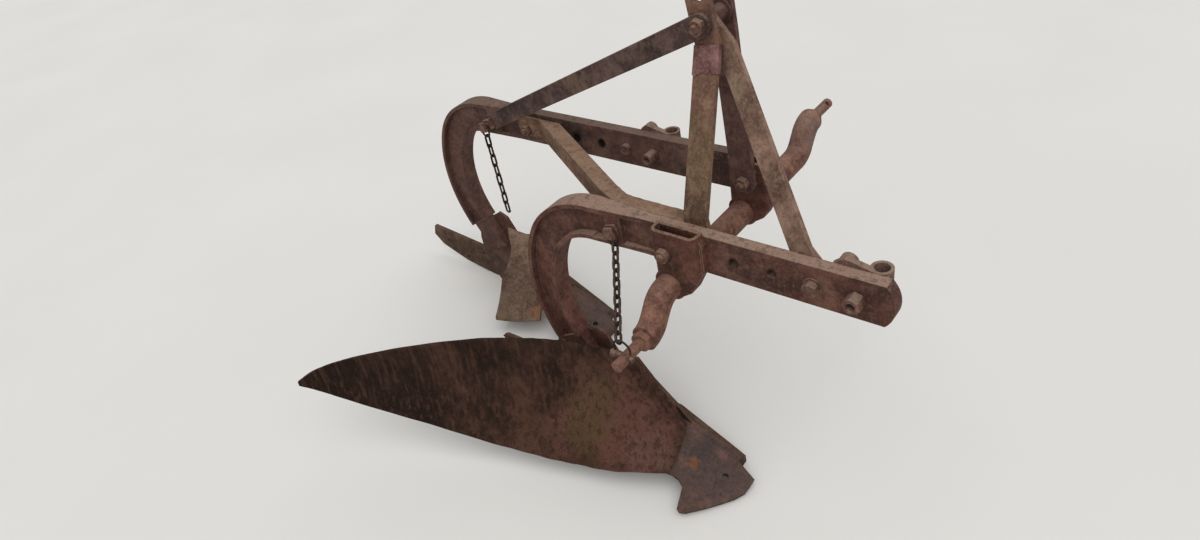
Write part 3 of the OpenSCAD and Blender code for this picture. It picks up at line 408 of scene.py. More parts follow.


# The two open bores in each beam, x and z, where shade is painted inside
PAIR = ((-146.0, 0.0), (-219.0, 0.0))
FINISHES = {
    finish.name: finish for finish in (
        Rust("beam_rust", (0.19, 0.125, 0.105), (0.30, 0.205, 0.175), (0.44, 0.32, 0.27),
             top=(0.62, 0.52, 0.46), top_share=0.8, oxide=(0.40, 0.23, 0.20), oxide_share=0.4, pits=1.2,
             edge=(0.58, 0.48, 0.42), edge_share=0.65, edge_radius=0.0022, hole_shade=painted_hole_shade(PAIR)),
        Rust("rear_beam_rust", (0.20, 0.145, 0.13), (0.31, 0.23, 0.205), (0.43, 0.33, 0.29),
             top=(0.50, 0.43, 0.38), top_share=0.5, oxide=(0.37, 0.22, 0.20), oxide_share=0.3,
             edge_radius=0.0022, hole_shade=painted_hole_shade(PAIR, Body.REAR),
             patches=(Patch((-1257, 268, -100), (0.12, 0.05, 0.16), (0.39, 0.275, 0.23), 0.65, 20.0),)),
        Rust("cross_shaft_rust", (0.29, 0.19, 0.155), (0.43, 0.30, 0.25), (0.56, 0.42, 0.35),
             top=(0.55, 0.43, 0.38), top_share=0.35, clouds=22.0, edge_share=0.3, pits=0.8,
             patches=(Patch((-340, 530, -40), (0.10, 0.09, 0.10), (0.42, 0.36, 0.35), 0.7, 20.0),)),
        Rust("clamp_oxide", (0.18, 0.115, 0.095), (0.30, 0.20, 0.165), (0.43, 0.29, 0.24),
             top=(0.58, 0.48, 0.41), top_share=0.6, oxide=(0.39, 0.215, 0.19), oxide_share=0.55,
             edge=(0.64, 0.54, 0.46), edge_share=0.85, edge_radius=0.003, pits=1.2),
        Rust("upright_rust", (0.30, 0.21, 0.175), (0.43, 0.32, 0.27), (0.53, 0.41, 0.34),
             clouds=12.0, top_share=0.3, lichen=(0.50, 0.45, 0.31), lichen_share=0.2, streaks=0.3,
             patches=(
                 Patch((-316, 66, 118), (0.09, 0.10, 0.14), (0.35, 0.295, 0.20), 0.75, 22.0),
                 Patch((-312, 45, 60), (0.08, 0.08, 0.06), (0.23, 0.175, 0.135), 0.75, 30.0))),
        Rust("right_leg_rust", (0.31, 0.225, 0.19), (0.45, 0.35, 0.30), (0.58, 0.47, 0.41),
             top=(0.56, 0.47, 0.41), top_share=0.4, lichen=(0.54, 0.46, 0.36), lichen_share=0.2,
             patches=(Patch((-287, 150, 245), (0.032, 0.05, 0.032), (0.56, 0.49, 0.41), 0.6, 50.0),)),
        Rust("left_leg_rust", (0.20, 0.14, 0.13), (0.32, 0.225, 0.21), (0.43, 0.32, 0.29), top_share=0.4),
        Rust("stay_rust", (0.17, 0.125, 0.12), (0.27, 0.205, 0.195), (0.40, 0.315, 0.29),
             top=(0.54, 0.46, 0.41), lichen=(0.48, 0.40, 0.33), lichen_share=0.3, lichen_scale=38.0,
             patches=(Patch((-695, 200, 164), (0.07, 0.07, 0.07), (0.47, 0.385, 0.32), 0.55, 45.0),)),
        Rust("brace_rust", (0.26, 0.185, 0.145), (0.40, 0.30, 0.24), (0.54, 0.43, 0.34),
             top=(0.56, 0.455, 0.385), top_share=0.6, oxide=(0.44, 0.28, 0.235), oxide_share=0.4,
             lichen=(0.60, 0.52, 0.42), lichen_share=0.35),
        Rust("casting_rust", (0.18, 0.13, 0.11), (0.28, 0.21, 0.18), (0.40, 0.31, 0.27),
             top=(0.42, 0.34, 0.30), top_share=0.3, oxide=(0.40, 0.22, 0.19), oxide_share=0.35,
             pits=1.3, mottle=0.7,
             patches=(
                 Patch((-290, -45, -572), (0.14, 0.12, 0.08), (0.20, 0.17, 0.185), 0.90, 18.0),
                 Patch((-331, -14, -536), (0.062, 0.062, 0.040), (0.115, 0.13, 0.165), 0.90, 35.0),
                 Patch((-334, -52, -545), (0.020, 0.020, 0.020), (0.46, 0.28, 0.15), 0.80, 90.0),
                 Patch((-292, 2, -549), (0.022, 0.022, 0.022), (0.42, 0.29, 0.27), 0.70, 60.0),
                 Patch((-845, 240, -590), (0.12, 0.12, 0.09), (0.27, 0.25, 0.27), 0.60, 22.0))),
        Rust("rear_face_rust", (0.24, 0.175, 0.145), (0.37, 0.29, 0.245), (0.50, 0.41, 0.35),
             top_share=0.3, lichen=(0.42, 0.36, 0.28), lichen_share=0.3,
             patches=(
                 Patch((-974, 166, -534), (0.050, 0.040, 0.035), (0.52, 0.32, 0.19), 0.70, 60.0),
                 Patch((-1075, 131, -527), (0.07, 0.06, 0.05), (0.34, 0.30, 0.22), 0.50, 30.0))),
        Rust("landside_rust", (0.19, 0.135, 0.105), (0.29, 0.215, 0.17), (0.40, 0.31, 0.25),
             top=(0.34, 0.27, 0.22), top_share=0.35, lichen=(0.42, 0.36, 0.27), lichen_share=0.25),
        Rust("board_rust", (0.115, 0.077, 0.058), (0.205, 0.142, 0.112), (0.300, 0.210, 0.170),
             clouds=9.0, top_share=0.0, streaks=0.5, edge=(0.42, 0.34, 0.29), edge_share=0.4, pits=0.8,
             mottle=0.55, specular=0.1, roughness=0.88,
             patches=(
                 Patch((-1130, -380, -400), (0.42, 0.32, 0.32), (0.085, 0.055, 0.042), 0.90, 8.0),
                 Patch((-476, -90, -470), (0.20, 0.15, 0.16), (0.38, 0.255, 0.225), 0.85, 12.0),
                 Patch((-412, -98, -517), (0.08, 0.07, 0.06), (0.40, 0.29, 0.27), 0.60, 30.0),
                 Patch((-568, -122, -484), (0.08, 0.07, 0.12), (0.31, 0.26, 0.16), 0.60, 36.0),
                 Patch((-548, -79, -433), (0.06, 0.06, 0.10), (0.29, 0.245, 0.16), 0.50, 36.0))),
        Rust("chain_rust", (0.080, 0.055, 0.045), (0.155, 0.105, 0.085), (0.27, 0.18, 0.145),
             clouds=120.0, top_share=0.2, edge_share=0.2, edge_radius=0.0006, pits=0.4),
        Rust("fastener_rust", (0.21, 0.145, 0.125), (0.34, 0.245, 0.21), (0.48, 0.36, 0.31),
             clouds=60.0, top=(0.58, 0.49, 0.43), top_share=0.6, edge=(0.58, 0.48, 0.42),
             edge_share=0.55, edge_radius=0.0012, pits=0.6),
        Rust("sleeve_paint", (0.27, 0.17, 0.16), (0.43, 0.30, 0.29), (0.54, 0.40, 0.39),
             clouds=30.0, top_share=0.2, edge=(0.26, 0.17, 0.14), edge_share=0.7, pits=0.4),
        Rust("bracket_rust", (0.28, 0.215, 0.19), (0.43, 0.335, 0.305), (0.56, 0.465, 0.42),
             top=(0.58, 0.50, 0.43), oxide=(0.42, 0.27, 0.24), oxide_share=0.4,
             lichen=(0.56, 0.49, 0.40), lichen_share=0.2, pits=1.2),
    )
}

# Finish of each node that keeps its solid's shape
NODE_FINISH = {
    "beam_front": "beam_rust", "beam_rear": "rear_beam_rust", "cross_shaft": "cross_shaft_rust",
    "shaft_clamp_front": "clamp_oxide", "shaft_clamp_rear": "clamp_oxide",
    "mast_leg_right": "right_leg_rust", "mast_leg_left": "left_leg_rust", "mast_upright": "upright_rust",
    "mast_spacer": "left_leg_rust", "rear_stay": "stay_rust", "beam_brace": "brace_rust",
    "frog_front": "casting_rust", "frog_rear": "casting_rust",
    "landside_rear": "landside_rust", "board_stay": "right_leg_rust",
    "coulter_bracket_front": "bracket_rust", "coulter_bracket_rear": "bracket_rust",
}


class Finisher:
    """Makes each material once and puts it on pieces and on the solids."""

    def __init__(self) -> None:
        """Starts with no material made."""
        self.made: dict[str, bpy.types.Material] = {}

    def get(self, name: str) -> bpy.types.Material:
        """Gives the material of a name in FINISHES, made at its first use."""
        if name not in self.made:
            self.made[name] = FINISHES[name].material()
        return self.made[name]

    def dress_nodes(self, nodes: dict[str, bpy.types.Object]) -> None:
        """Puts the finishes of NODE_FINISH on the frame's nodes, given by name, that stay."""
        for node, finish in NODE_FINISH.items():
            piece = nodes[node]
            if not piece.material_slots:
                piece.data.materials.append(self.get(finish))
            for slot in piece.material_slots:
                slot.material = self.get(finish)
            LOG.info("%s: %s", node, finish)


# ---- surfaces


@dataclass
class Skin:
    """Vertices and faces of one closed surface."""

    points: np.ndarray
    faces: list[tuple[int, ...]]

    def outward(self) -> "Skin":
        """Turns the faces outwards, by the sign of the volume that they enclose."""
        volume = 0.0
        for size in (3, 4):
            some = np.array([f for f in self.faces if len(f) == size], int)
            for k in range(1, size - 1):
                if len(some):
                    a, b, c = (self.points[some[:, j]] for j in (0, k, k + 1))
                    volume += float(np.einsum("ij,ij->i", a, np.cross(b, c)).sum())
        if volume < 0:
            self.faces = [f[::-1] for f in self.faces]
        return self

    def in_row(self, body: Body = Body.FRONT) -> "Skin":
        """The skin moved from a body's axes, in millimetres, into the row's frame, in metres."""
        return Skin(row(self.points, body), self.faces)


def grid_faces(rows: int, columns: int, closed_rows: bool, closed_columns: bool) -> list[tuple[int, ...]]:
    """Quads of a grid whose vertex (i, j) has the number i * columns + j.

    Args:
        rows: vertices along the first direction.
        columns: vertices along the second direction.
        closed_rows: the last row joins the first.
        closed_columns: the last column joins the first.

    Returns:
        The quads.
    """
    i, j = np.meshgrid(np.arange(rows if closed_rows else rows - 1),
                       np.arange(columns if closed_columns else columns - 1), indexing="ij")
    i2, j2 = (i + 1) % rows, (j + 1) % columns
    quads = np.stack([i * columns + j, i * columns + j2, i2 * columns + j2, i2 * columns + j], -1)
    return [tuple(q) for q in quads.reshape(-1, 4).tolist()]


def plate(front: np.ndarray, back: np.ndarray) -> Skin:
    """A closed plate between two grids of the same size: both faces, and walls along the four edges.

    Args:
        front: points of one face, rows, columns, xyz.
        back: points of the other face.

    Returns:
        The closed skin.
    """
    n, m = front.shape[:2]
    count = n * m
    faces = grid_faces(n, m, False, False)
    faces = faces + [tuple(count + v for v in f[::-1]) for f in faces]
    index = np.arange(count).reshape(n, m)
    rim = np.concatenate([index[0, :-1], index[:-1, -1], index[-1, :0:-1], index[:0:-1, 0]])
    following = np.roll(rim, -1)
    faces += [(int(b), int(a), int(a) + count, int(b) + count) for a, b in zip(rim, following)]
    return Skin(np.concatenate([front.reshape(-1, 3), back.reshape(-1, 3)]), faces).outward()


def ringed(grid: np.ndarray, poles: np.ndarray | None = None) -> Skin:
    """Joins rings of points by quads. Without poles the last ring joins the first; with them, a fan of
    triangles closes each end.

    Args:
        grid: points by ring, place in the ring, xyz.
        poles: the points at the first and the last end, or None.

    Returns:
        The closed skin.
    """
    count, sides = grid.shape[:2]
    points, faces = grid.reshape(-1, 3), grid_faces(count, sides, poles is None, True)
    if poles is not None:
        points = np.concatenate([points, poles])
        pole, last = count * sides, (count - 1) * sides
        around = [(j, (j + 1) % sides) for j in range(sides)]
        faces += [(pole, b, a) for a, b in around] + [(pole + 1, last + a, last + b) for a, b in around]
    return Skin(points, faces).outward()


def turned(profile: np.ndarray, sides: int = 24, flats: int = 0, across: float = 0.0,
           ring: bool = False, thread: tuple[float, float] | None = None) -> Skin:
    """A profile turned about Z. With flats, the radius at angle a is the lesser of the profile's and of a
    polygon's: half the width across flats over cos(a'), where a' is a's angle from the nearest flat's middle.
    With a thread, the radius falls and rises by a triangle wave of (z / pitch - a / turn).

    Args:
        profile: radius and height of each row, in millimetres.
        sides: columns round the axis.
        flats: sides of the polygon, or 0 for a round piece.
        across: width across flats, in millimetres.
        ring: the profile is a closed loop off the axis; otherwise both ends close in a pole.
        thread: pitch and depth in millimetres, or None.

    Returns:
        The closed skin, in millimetres.
    """
    angle = np.linspace(0, 2 * np.pi, sides, endpoint=False)
    radius = np.repeat(profile[:, :1], sides, axis=1)
    height = np.repeat(profile[:, 1:], sides, axis=1)
    if flats:
        step = 2 * np.pi / flats
        near = np.mod(angle + step / 2, step) - step / 2
        radius = np.minimum(radius, across / 2 / np.cos(near)[None, :])
    if thread is not None:
        pitch, depth = thread
        phase = np.mod(height / pitch - angle[None, :] / (2 * np.pi), 1.0)
        radius = radius - depth * np.abs(2 * phase - 1)
    grid = np.stack([radius * np.cos(angle), radius * np.sin(angle), height], -1)
    return ringed(grid, None if ring else np.array([[0, 0, profile[0, 1]], [0, 0, profile[-1, 1]]]))


def swept(path: np.ndarray, radius: np.ndarray, sides: int, closed: bool, up: np.ndarray) -> Skin:
    """A round wire along a path: at each point a circle in the plane across the path's direction.

    Args:
        path: points of the wire's middle line.
        radius: the wire's radius at each point.
        sides: points of each circle.
        closed: the path joins its own start; otherwise its ends close in poles.
        up: a direction across the whole path.

    Returns:
        The closed skin.
    """
    ahead = np.roll(path, -1, 0) - np.roll(path, 1, 0)
    if not closed:
        ahead[0], ahead[-1] = path[1] - path[0], path[-1] - path[-2]
    ahead = unit(ahead)
    side = unit(np.cross(ahead, up))
    over = np.cross(side, ahead)
    angle = np.linspace(0, 2 * np.pi, sides, endpoint=False)[None, :, None]
    ring = np.cos(angle) * side[:, None] + np.sin(angle) * over[:, None]
    grid = path[:, None] + radius[:, None, None] * ring
    ends = [0, -1]
    tips = path[ends] + radius[ends, None] * np.array([[-0.4], [0.4]]) * ahead[ends]
    return ringed(grid, None if closed else tips)


def placed(skin: Skin, origin: np.ndarray, axis: np.ndarray | Point, turn: float = 0.0) -> Skin:
    """Moves a skin so that its Z runs along an axis from an origin, turned about it first.

    Args:
        skin: the skin in its own frame.
        origin: where its origin goes.
        axis: where its Z points.
        turn: angle about Z, in degrees.

    Returns:
        The moved skin.
    """
    z = unit(np.asarray(axis, float))
    x = unit(np.cross([0.0, 0.0, 1.0] if abs(z[2]) < 0.9 else [1.0, 0.0, 0.0], z))
    y = np.cross(z, x)
    c, s = math.cos(math.radians(turn)), math.sin(math.radians(turn))
    return Skin(skin.points @ np.stack([c * x + s * y, c * y - s * x, z]) + origin, skin.faces)


def joined(skins: list[Skin]) -> Skin:
    """Several skins as one, each still closed by itself."""
    starts = np.cumsum([0] + [len(s.points) for s in skins[:-1]])
    faces = [tuple(int(start) + v for v in f) for start, s in zip(starts, skins) for f in s.faces]
    return Skin(np.concatenate([s.points for s in skins]), faces)


@dataclass
class Maker:
    """Turns skins into pieces that ride on the plough, with materials from the finisher."""

    finisher: Finisher

    def piece(self, name: str, skin: Skin, finish: str, slot: str, replaced: tuple[str, ...] = (),
              crease: float = 35.0) -> None:
        """Makes a piece from a skin in the row's frame.

        Args:
            name: the piece's name.
            skin: its surface, in metres.
            finish: a name in FINISHES.
            slot: the record's material slot; not used.
            replaced: the solids that it stands for.
            crease: edges sharper than this stay sharp, in degrees.
        """
        mesh = bpy.data.meshes.new(name)
        mesh.from_pydata(skin.points.tolist(), [], skin.faces)
        mesh.polygons.foreach_set("use_smooth", np.ones(len(mesh.polygons), bool))
        mesh.set_sharp_from_angle(angle=math.radians(crease))
        mesh.materials.append(self.finisher.get(finish))
        mesh.update()
        made = bpy.data.objects.new(name, mesh)
        bpy.context.scene.collection.objects.link(made)
        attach(made, "root")
        if replaced:
            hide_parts(*replaced)
        LOG.info("%s: %d faces", name, len(skin.faces))


# ---- curved plates


@dataclass(frozen=True)
class BoardSurface:
    """The mouldboard's working face: u counts its rows from the shin to the tail, v goes up a row.

    Both edges run smoothly through the rows' ends, and each row is hollow by 4 v (1 - v) of its depth.
    The rows are those of the solid: lower edge x, y, z, upper edge x, y, z, and the hollow's depth.
    """

    rows: tuple[tuple[float, ...], ...] = (
        (-380, 5, -505, -504, 20, -375, 3),
        (-362, -67, -529, -538, -4, -345, 12),
        (-360, -107, -539, -580, -30, -325, 22),
        (-467, -155, -548, -613, -56, -308, 27),
        (-556, -182, -552, -655, -82, -297, 28),
        (-643, -209, -548, -706, -112, -291, 26),
        (-755, -241, -539, -792, -159, -289, 22),
        (-924, -298, -504, -928, -249, -295, 14),
        (-1084, -360, -460, -1082, -334, -331, 7),
        (-1168, -399, -424, -1168, -388, -362, 3),
        (-1210, -424, -402, -1210, -424, -390, 0))
    corner: int = 2
    facing: Point = (0.35, -1.0, 0.2)

    @property
    def last(self) -> int:
        """Number of the tail's row."""
        return len(self.rows) - 1

    def edge(self, u: np.ndarray, upper: bool) -> np.ndarray:
        """Points on one edge: the smooth line through the rows' ends, which turns sharply at the lower
        edge's corner.

        Args:
            u: places along the edge.
            upper: the upper edge, or else the lower.

        Returns:
            The points, in millimetres.
        """
        ends = np.array(self.rows)[:, 3:6] if upper else np.array(self.rows)[:, :3]
        i = np.minimum(np.floor(u).astype(int), self.last - 1)
        t = (u - i)[..., None]
        here, there = ends[i], ends[i + 1]
        starts = (i == 0) | ((i == self.corner) & (not upper))
        stops = (i + 1 == self.last) | ((i + 1 == self.corner) & (not upper))
        before = np.where(starts[..., None], 2 * here - there, ends[np.maximum(i - 1, 0)])
        after = np.where(stops[..., None], 2 * there - here, ends[np.minimum(i + 2, self.last)])
        return (2 * here + (there - before) * t + (2 * before - 5 * here + 4 * there - after) * t ** 2
                + (3 * here - before - 3 * there + after) * t ** 3) / 2

    def at(self, u: np.ndarray, v: np.ndarray) -> np.ndarray:
        """Points of the working face: low + v * chord, less 4 v (1 - v) hollow along the facing across it.

        Args:
            u: places along the rows.
            v: places up each row.

        Returns:
            The points, in millimetres.
        """
        low = self.edge(u, False)
        chord = self.edge(u, True) - low
        facing = np.array(self.facing)
        share = (chord @ facing) / np.einsum("...i,...i->...", chord, chord)
        hollow = np.interp(u, np.arange(self.last + 1), np.array(self.rows)[:, 6])
        return (low + v[..., None] * chord
                - (4 * v * (1 - v) * hollow)[..., None] * unit(facing - chord * share[..., None]))

    def back(self, u: np.ndarray, v: np.ndarray) -> np.ndarray:
        """Unit vectors from the working face to the back, from small steps along both directions.

        Args:
            u: places along the rows.
            v: places up each row.

        Returns:
            The vectors.
        """
        step = 0.02
        along = self.at(np.minimum(u + step, self.last), v) - self.at(np.maximum(u - step, 0), v)
        return unit(np.cross(along, self.at(u, v + step) - self.at(u, v - step)))


@dataclass
class Mouldboard:
    """The one curved board that is left, on the front body: thin at its worn edges, a little dented."""

    surface: BoardSurface = BoardSurface()
    thickness: float = 7.0
    per_row: int = 18
    rise: int = 44
    rounding: float = 1.2
    rim: float = 0.02

    def build(self) -> Skin:
        """Lays a fine grid on the working face. Each edge is worn back by up to 0.6 percent of the row in
        slow waves, and the face has dents of 0.4 mm, sums of sines along both directions.

        Returns:
            The board's skin, in metres.
        """
        u = np.linspace(0, self.surface.last, self.surface.last * self.per_row + 1)
        worn = 0.003 + 0.003 * np.sin(7.3 * u + 1.1) * np.sin(2.9 * u)
        t = np.linspace(0, 1, self.rise)
        v = worn[:, None] + (1 - 2 * worn[:, None]) * t[None, :]
        uu = np.repeat(u[:, None], self.rise, axis=1)
        dents = 0.25 * np.sin(4.1 * uu + 9.0 * v) + 0.15 * np.sin(11.3 * uu - 6.0 * v)
        dents = dents * np.sin(np.pi * t)[None, :]
        face, back = self.surface.at(uu, v), self.surface.back(uu, v)
        bevel = self.rounding * (1 - np.minimum(1.0, np.minimum(t, 1 - t) / self.rim))[None, :, None]
        front = face + (dents[..., None] + bevel) * back
        return plate(row(front), row(face + (self.thickness - bevel) * back))

    def dress(self, maker: Maker) -> None:
        """Makes the piece, which stands for the board's solid."""
        maker.piece("mouldboard_plate", self.build(), "board_rust", "board", ("mouldboard",))


@dataclass
class FrogFace:
    """The curved face that carries a mouldboard, on either body.

    It lies behind the board by a gap and runs over its rows from the first to the end, up to heights
    between low and high, which are pairs of a row and a height. Its root runs on to the frog's wall.
    """

    body: Body
    surface: BoardSurface = BoardSurface()
    gap: float = 7.6
    thickness: float = 9.0
    first: float = 0.5
    end: float = 3.6
    low: tuple[tuple[float, float], ...] = ((2.05, 0.22), (2.3, 0.02))
    high: tuple[tuple[float, float], ...] = ((1.3, 1.0), (3.1, 0.42), (3.6, 0.05))
    wall_y: float = 24.0
    root_shift: tuple[float, float] = (-10.0, -2.0)

    def build(self) -> Skin:
        """Columns up the board's back, from its lower to its upper limit by row, with a first column on
        the frog's wall behind the shin.

        Returns:
            The face's skin, in metres.
        """
        turns = [u for u, _ in self.low + self.high if self.first < u < self.end]
        u = np.unique(np.concatenate([np.linspace(self.first, self.end, 60), turns]))
        t = np.linspace(0, 1, 25)

        def heights(at: np.ndarray) -> np.ndarray:
            """Heights up the rows, between the lower and the upper limit."""
            low = np.interp(at, *zip(*self.low))
            return low[:, None] + (np.interp(at, *zip(*self.high)) - low)[:, None] * t

        v = heights(u)
        uu = np.repeat(u[:, None], len(t), axis=1)
        face, back = self.surface.at(uu, v), self.surface.back(uu, v)
        root = self.surface.at(np.zeros((1, len(t))), heights(u[:1]))

        def layer(depth: float, behind: float) -> np.ndarray:
            """One face of the plate at a depth behind the board, with its column on the wall."""
            wall = np.stack([root[..., 0] + self.root_shift[0] - behind,
                             np.full(root.shape[:2], self.wall_y), root[..., 2] + self.root_shift[1]], -1)
            return row(np.concatenate([wall, face + depth * back]), self.body)

        return plate(layer(self.gap, 0.0), layer(self.gap + self.thickness, self.thickness))

    def dress(self, maker: Maker) -> None:
        """Makes the piece, which stands for the face's solid."""
        finish = "rear_face_rust" if self.body is Body.REAR else "casting_rust"
        node = f"frog_face_{self.body.value}"
        maker.piece(f"{node}_plate", self.build(), finish, "cast", (node,))


# ---- solids' meshes


def merged(piece: bpy.types.Object) -> tuple[np.ndarray, np.ndarray]:
    """Reads a solid's mesh with its doubled points merged.

    Args:
        piece: a node of the frame.

    Returns:
        The points in metres, and the triangles' corners.
    """
    mesh = piece.data
    points = np.empty(len(mesh.vertices) * 3)
    mesh.vertices.foreach_get("co", points)
    mesh.calc_loop_triangles()
    corners = np.empty(len(mesh.loop_triangles) * 3, int)
    mesh.loop_triangles.foreach_get("vertices", corners)
    spots, same = np.unique(np.round(points.reshape(-1, 3), 6), axis=0, return_inverse=True)
    return spots, same.reshape(-1)[corners].reshape(-1, 3)


def islands(piece: bpy.types.Object) -> list[np.ndarray]:
    """Splits a solid's mesh into its separate bodies, by handing the least number along its faces until
    nothing changes.

    Args:
        piece: a node of the frame.

    Returns:
        The points of each body, in metres.
    """
    spots, faces = merged(piece)
    label = np.arange(len(spots))
    while True:
        least = label[faces].min(axis=1)
        new = label.copy()
        for k in range(3):
            np.minimum.at(new, faces[:, k], least)
        if np.array_equal(new, label):
            break
        label = new
    return [spots[label == one] for one in np.unique(label)]


# ---- landside


@dataclass
class WornLandside:
    """The front landside, whose tail's upper corner is worn lower than the rear one's.

    All in millimetres: the tail sinks from x = tail_from over tail_over, by up to the drop. What lies less
    than keeps above the floor stays, and the drop fades in over fade.
    """

    tail_from: float = -900.0
    tail_over: float = 60.0
    keeps: float = 84.0
    fade: float = 20.0
    drop: float = 27.0
    floor: float = -597.0

    def build(self, node: bpy.types.Object) -> Skin:
        """Lowers the solid's points by drop * a * b, where a runs from 0 to 1 along the tail and b from 0
        to 1 above the height that stays.

        Args:
            node: the landside's solid in the frame.

        Returns:
            The landside's skin, in metres.
        """
        spots, faces = merged(node)
        own = spots / MM - ROW_SHIFT
        along = np.clip((self.tail_from - own[:, 0]) / self.tail_over, 0, 1)
        up = np.clip((own[:, 2] - self.floor - self.keeps) / self.fade, 0, 1)
        own[:, 2] -= self.drop * along * up
        whole = [tuple(f) for f in faces.tolist() if len(set(f)) == 3]
        return Skin(row(own), whole).outward()

    def dress(self, maker: Maker, nodes: dict[str, bpy.types.Object]) -> None:
        """Makes the piece, which stands for the landside's solid."""
        name = "landside_front"
        maker.piece(f"{name}_worn", self.build(nodes[name]), "landside_rust", "land", (name,))


# ---- brace shelf


@dataclass
class BraceShelf:
    """The brace's upper flange, which rises from its arm and runs on along the front beam's left side,
    level with the beam's top, to the upright's foot.

    Its stations are x, y of the near edge, y of the far edge, z of the top, and thickness, in millimetres.
    """

    stations: tuple[tuple[float, ...], ...] = (
        (-552.0, 61.5, 99.5, 31.4, 1.0), (-522.0, 44.6, 82.3, 34.3, 3.6), (-503.0, 34.0, 70.0, 37.6, 5.0),
        (-485.0, 30.9, 61.5, 39.6, 5.5), (-468.0, 29.5, 58.0, 40.0, 5.5), (-418.0, 25.2, 57.5, 40.0, 5.5),
        (-410.0, 24.7, 57.5, 40.0, 5.5), (-332.0, 24.7, 57.0, 40.0, 5.5), (-331.4, 35.2, 57.0, 40.0, 5.5),
        (-321.0, 36.0, 56.5, 40.0, 5.5), (-314.0, 44.0, 54.0, 40.0, 5.5))
    rows: int = 110
    columns: int = 14
    wear: float = 0.6
    dent: float = 0.15

    def build(self) -> Skin:
        """Rows across the flange whose ends and top run straight from station to station, with the far
        edge worn back and the top dented by products of sine waves, and both its edges rounded.

        Returns:
            The flange's skin, in metres.
        """
        table = np.array(self.stations)
        x = np.unique(np.concatenate([np.linspace(table[0, 0], table[-1, 0], self.rows), table[:, 0]]))
        near, far, top, thick = (np.interp(x, table[:, 0], table[:, k]) for k in (1, 2, 3, 4))
        far = far - self.wear * (1 + np.sin(0.21 * x) * np.sin(0.083 * x + 1.0))
        t = np.linspace(0, 1, self.columns)
        y = near[:, None] + t * (far - near)[:, None]
        xx = np.repeat(x[:, None], self.columns, axis=1)
        dent = self.dent * (np.sin(0.09 * xx + 0.2 * y) * np.sin(0.05 * xx - 0.13 * y) - 1)
        rim = self.wear * (1 - np.minimum(1.0, np.minimum(t, 1 - t) * 12))
        upper = np.stack([xx, y, top[:, None] + dent - rim], -1)
        lower = np.stack([xx, y, np.repeat((top - thick)[:, None], self.columns, axis=1)], -1)
        return plate(row(upper), row(lower))

    def dress(self, maker: Maker) -> None:
        """Makes the piece."""
        maker.piece("brace_shelf", self.build(), "brace_rust", "bar")


# ---- chains

# Height of the square nut at the root of a chain's bolt, and how far in it lies, in millimetres
ROOT_NUT = {Body.FRONT: (5.5, 16.0), Body.REAR: (14.0, 30.0)}
# The solid's wire is an eight-sided bar, whose mean width is this share of the wire's
BAR_SHARE = 0.809


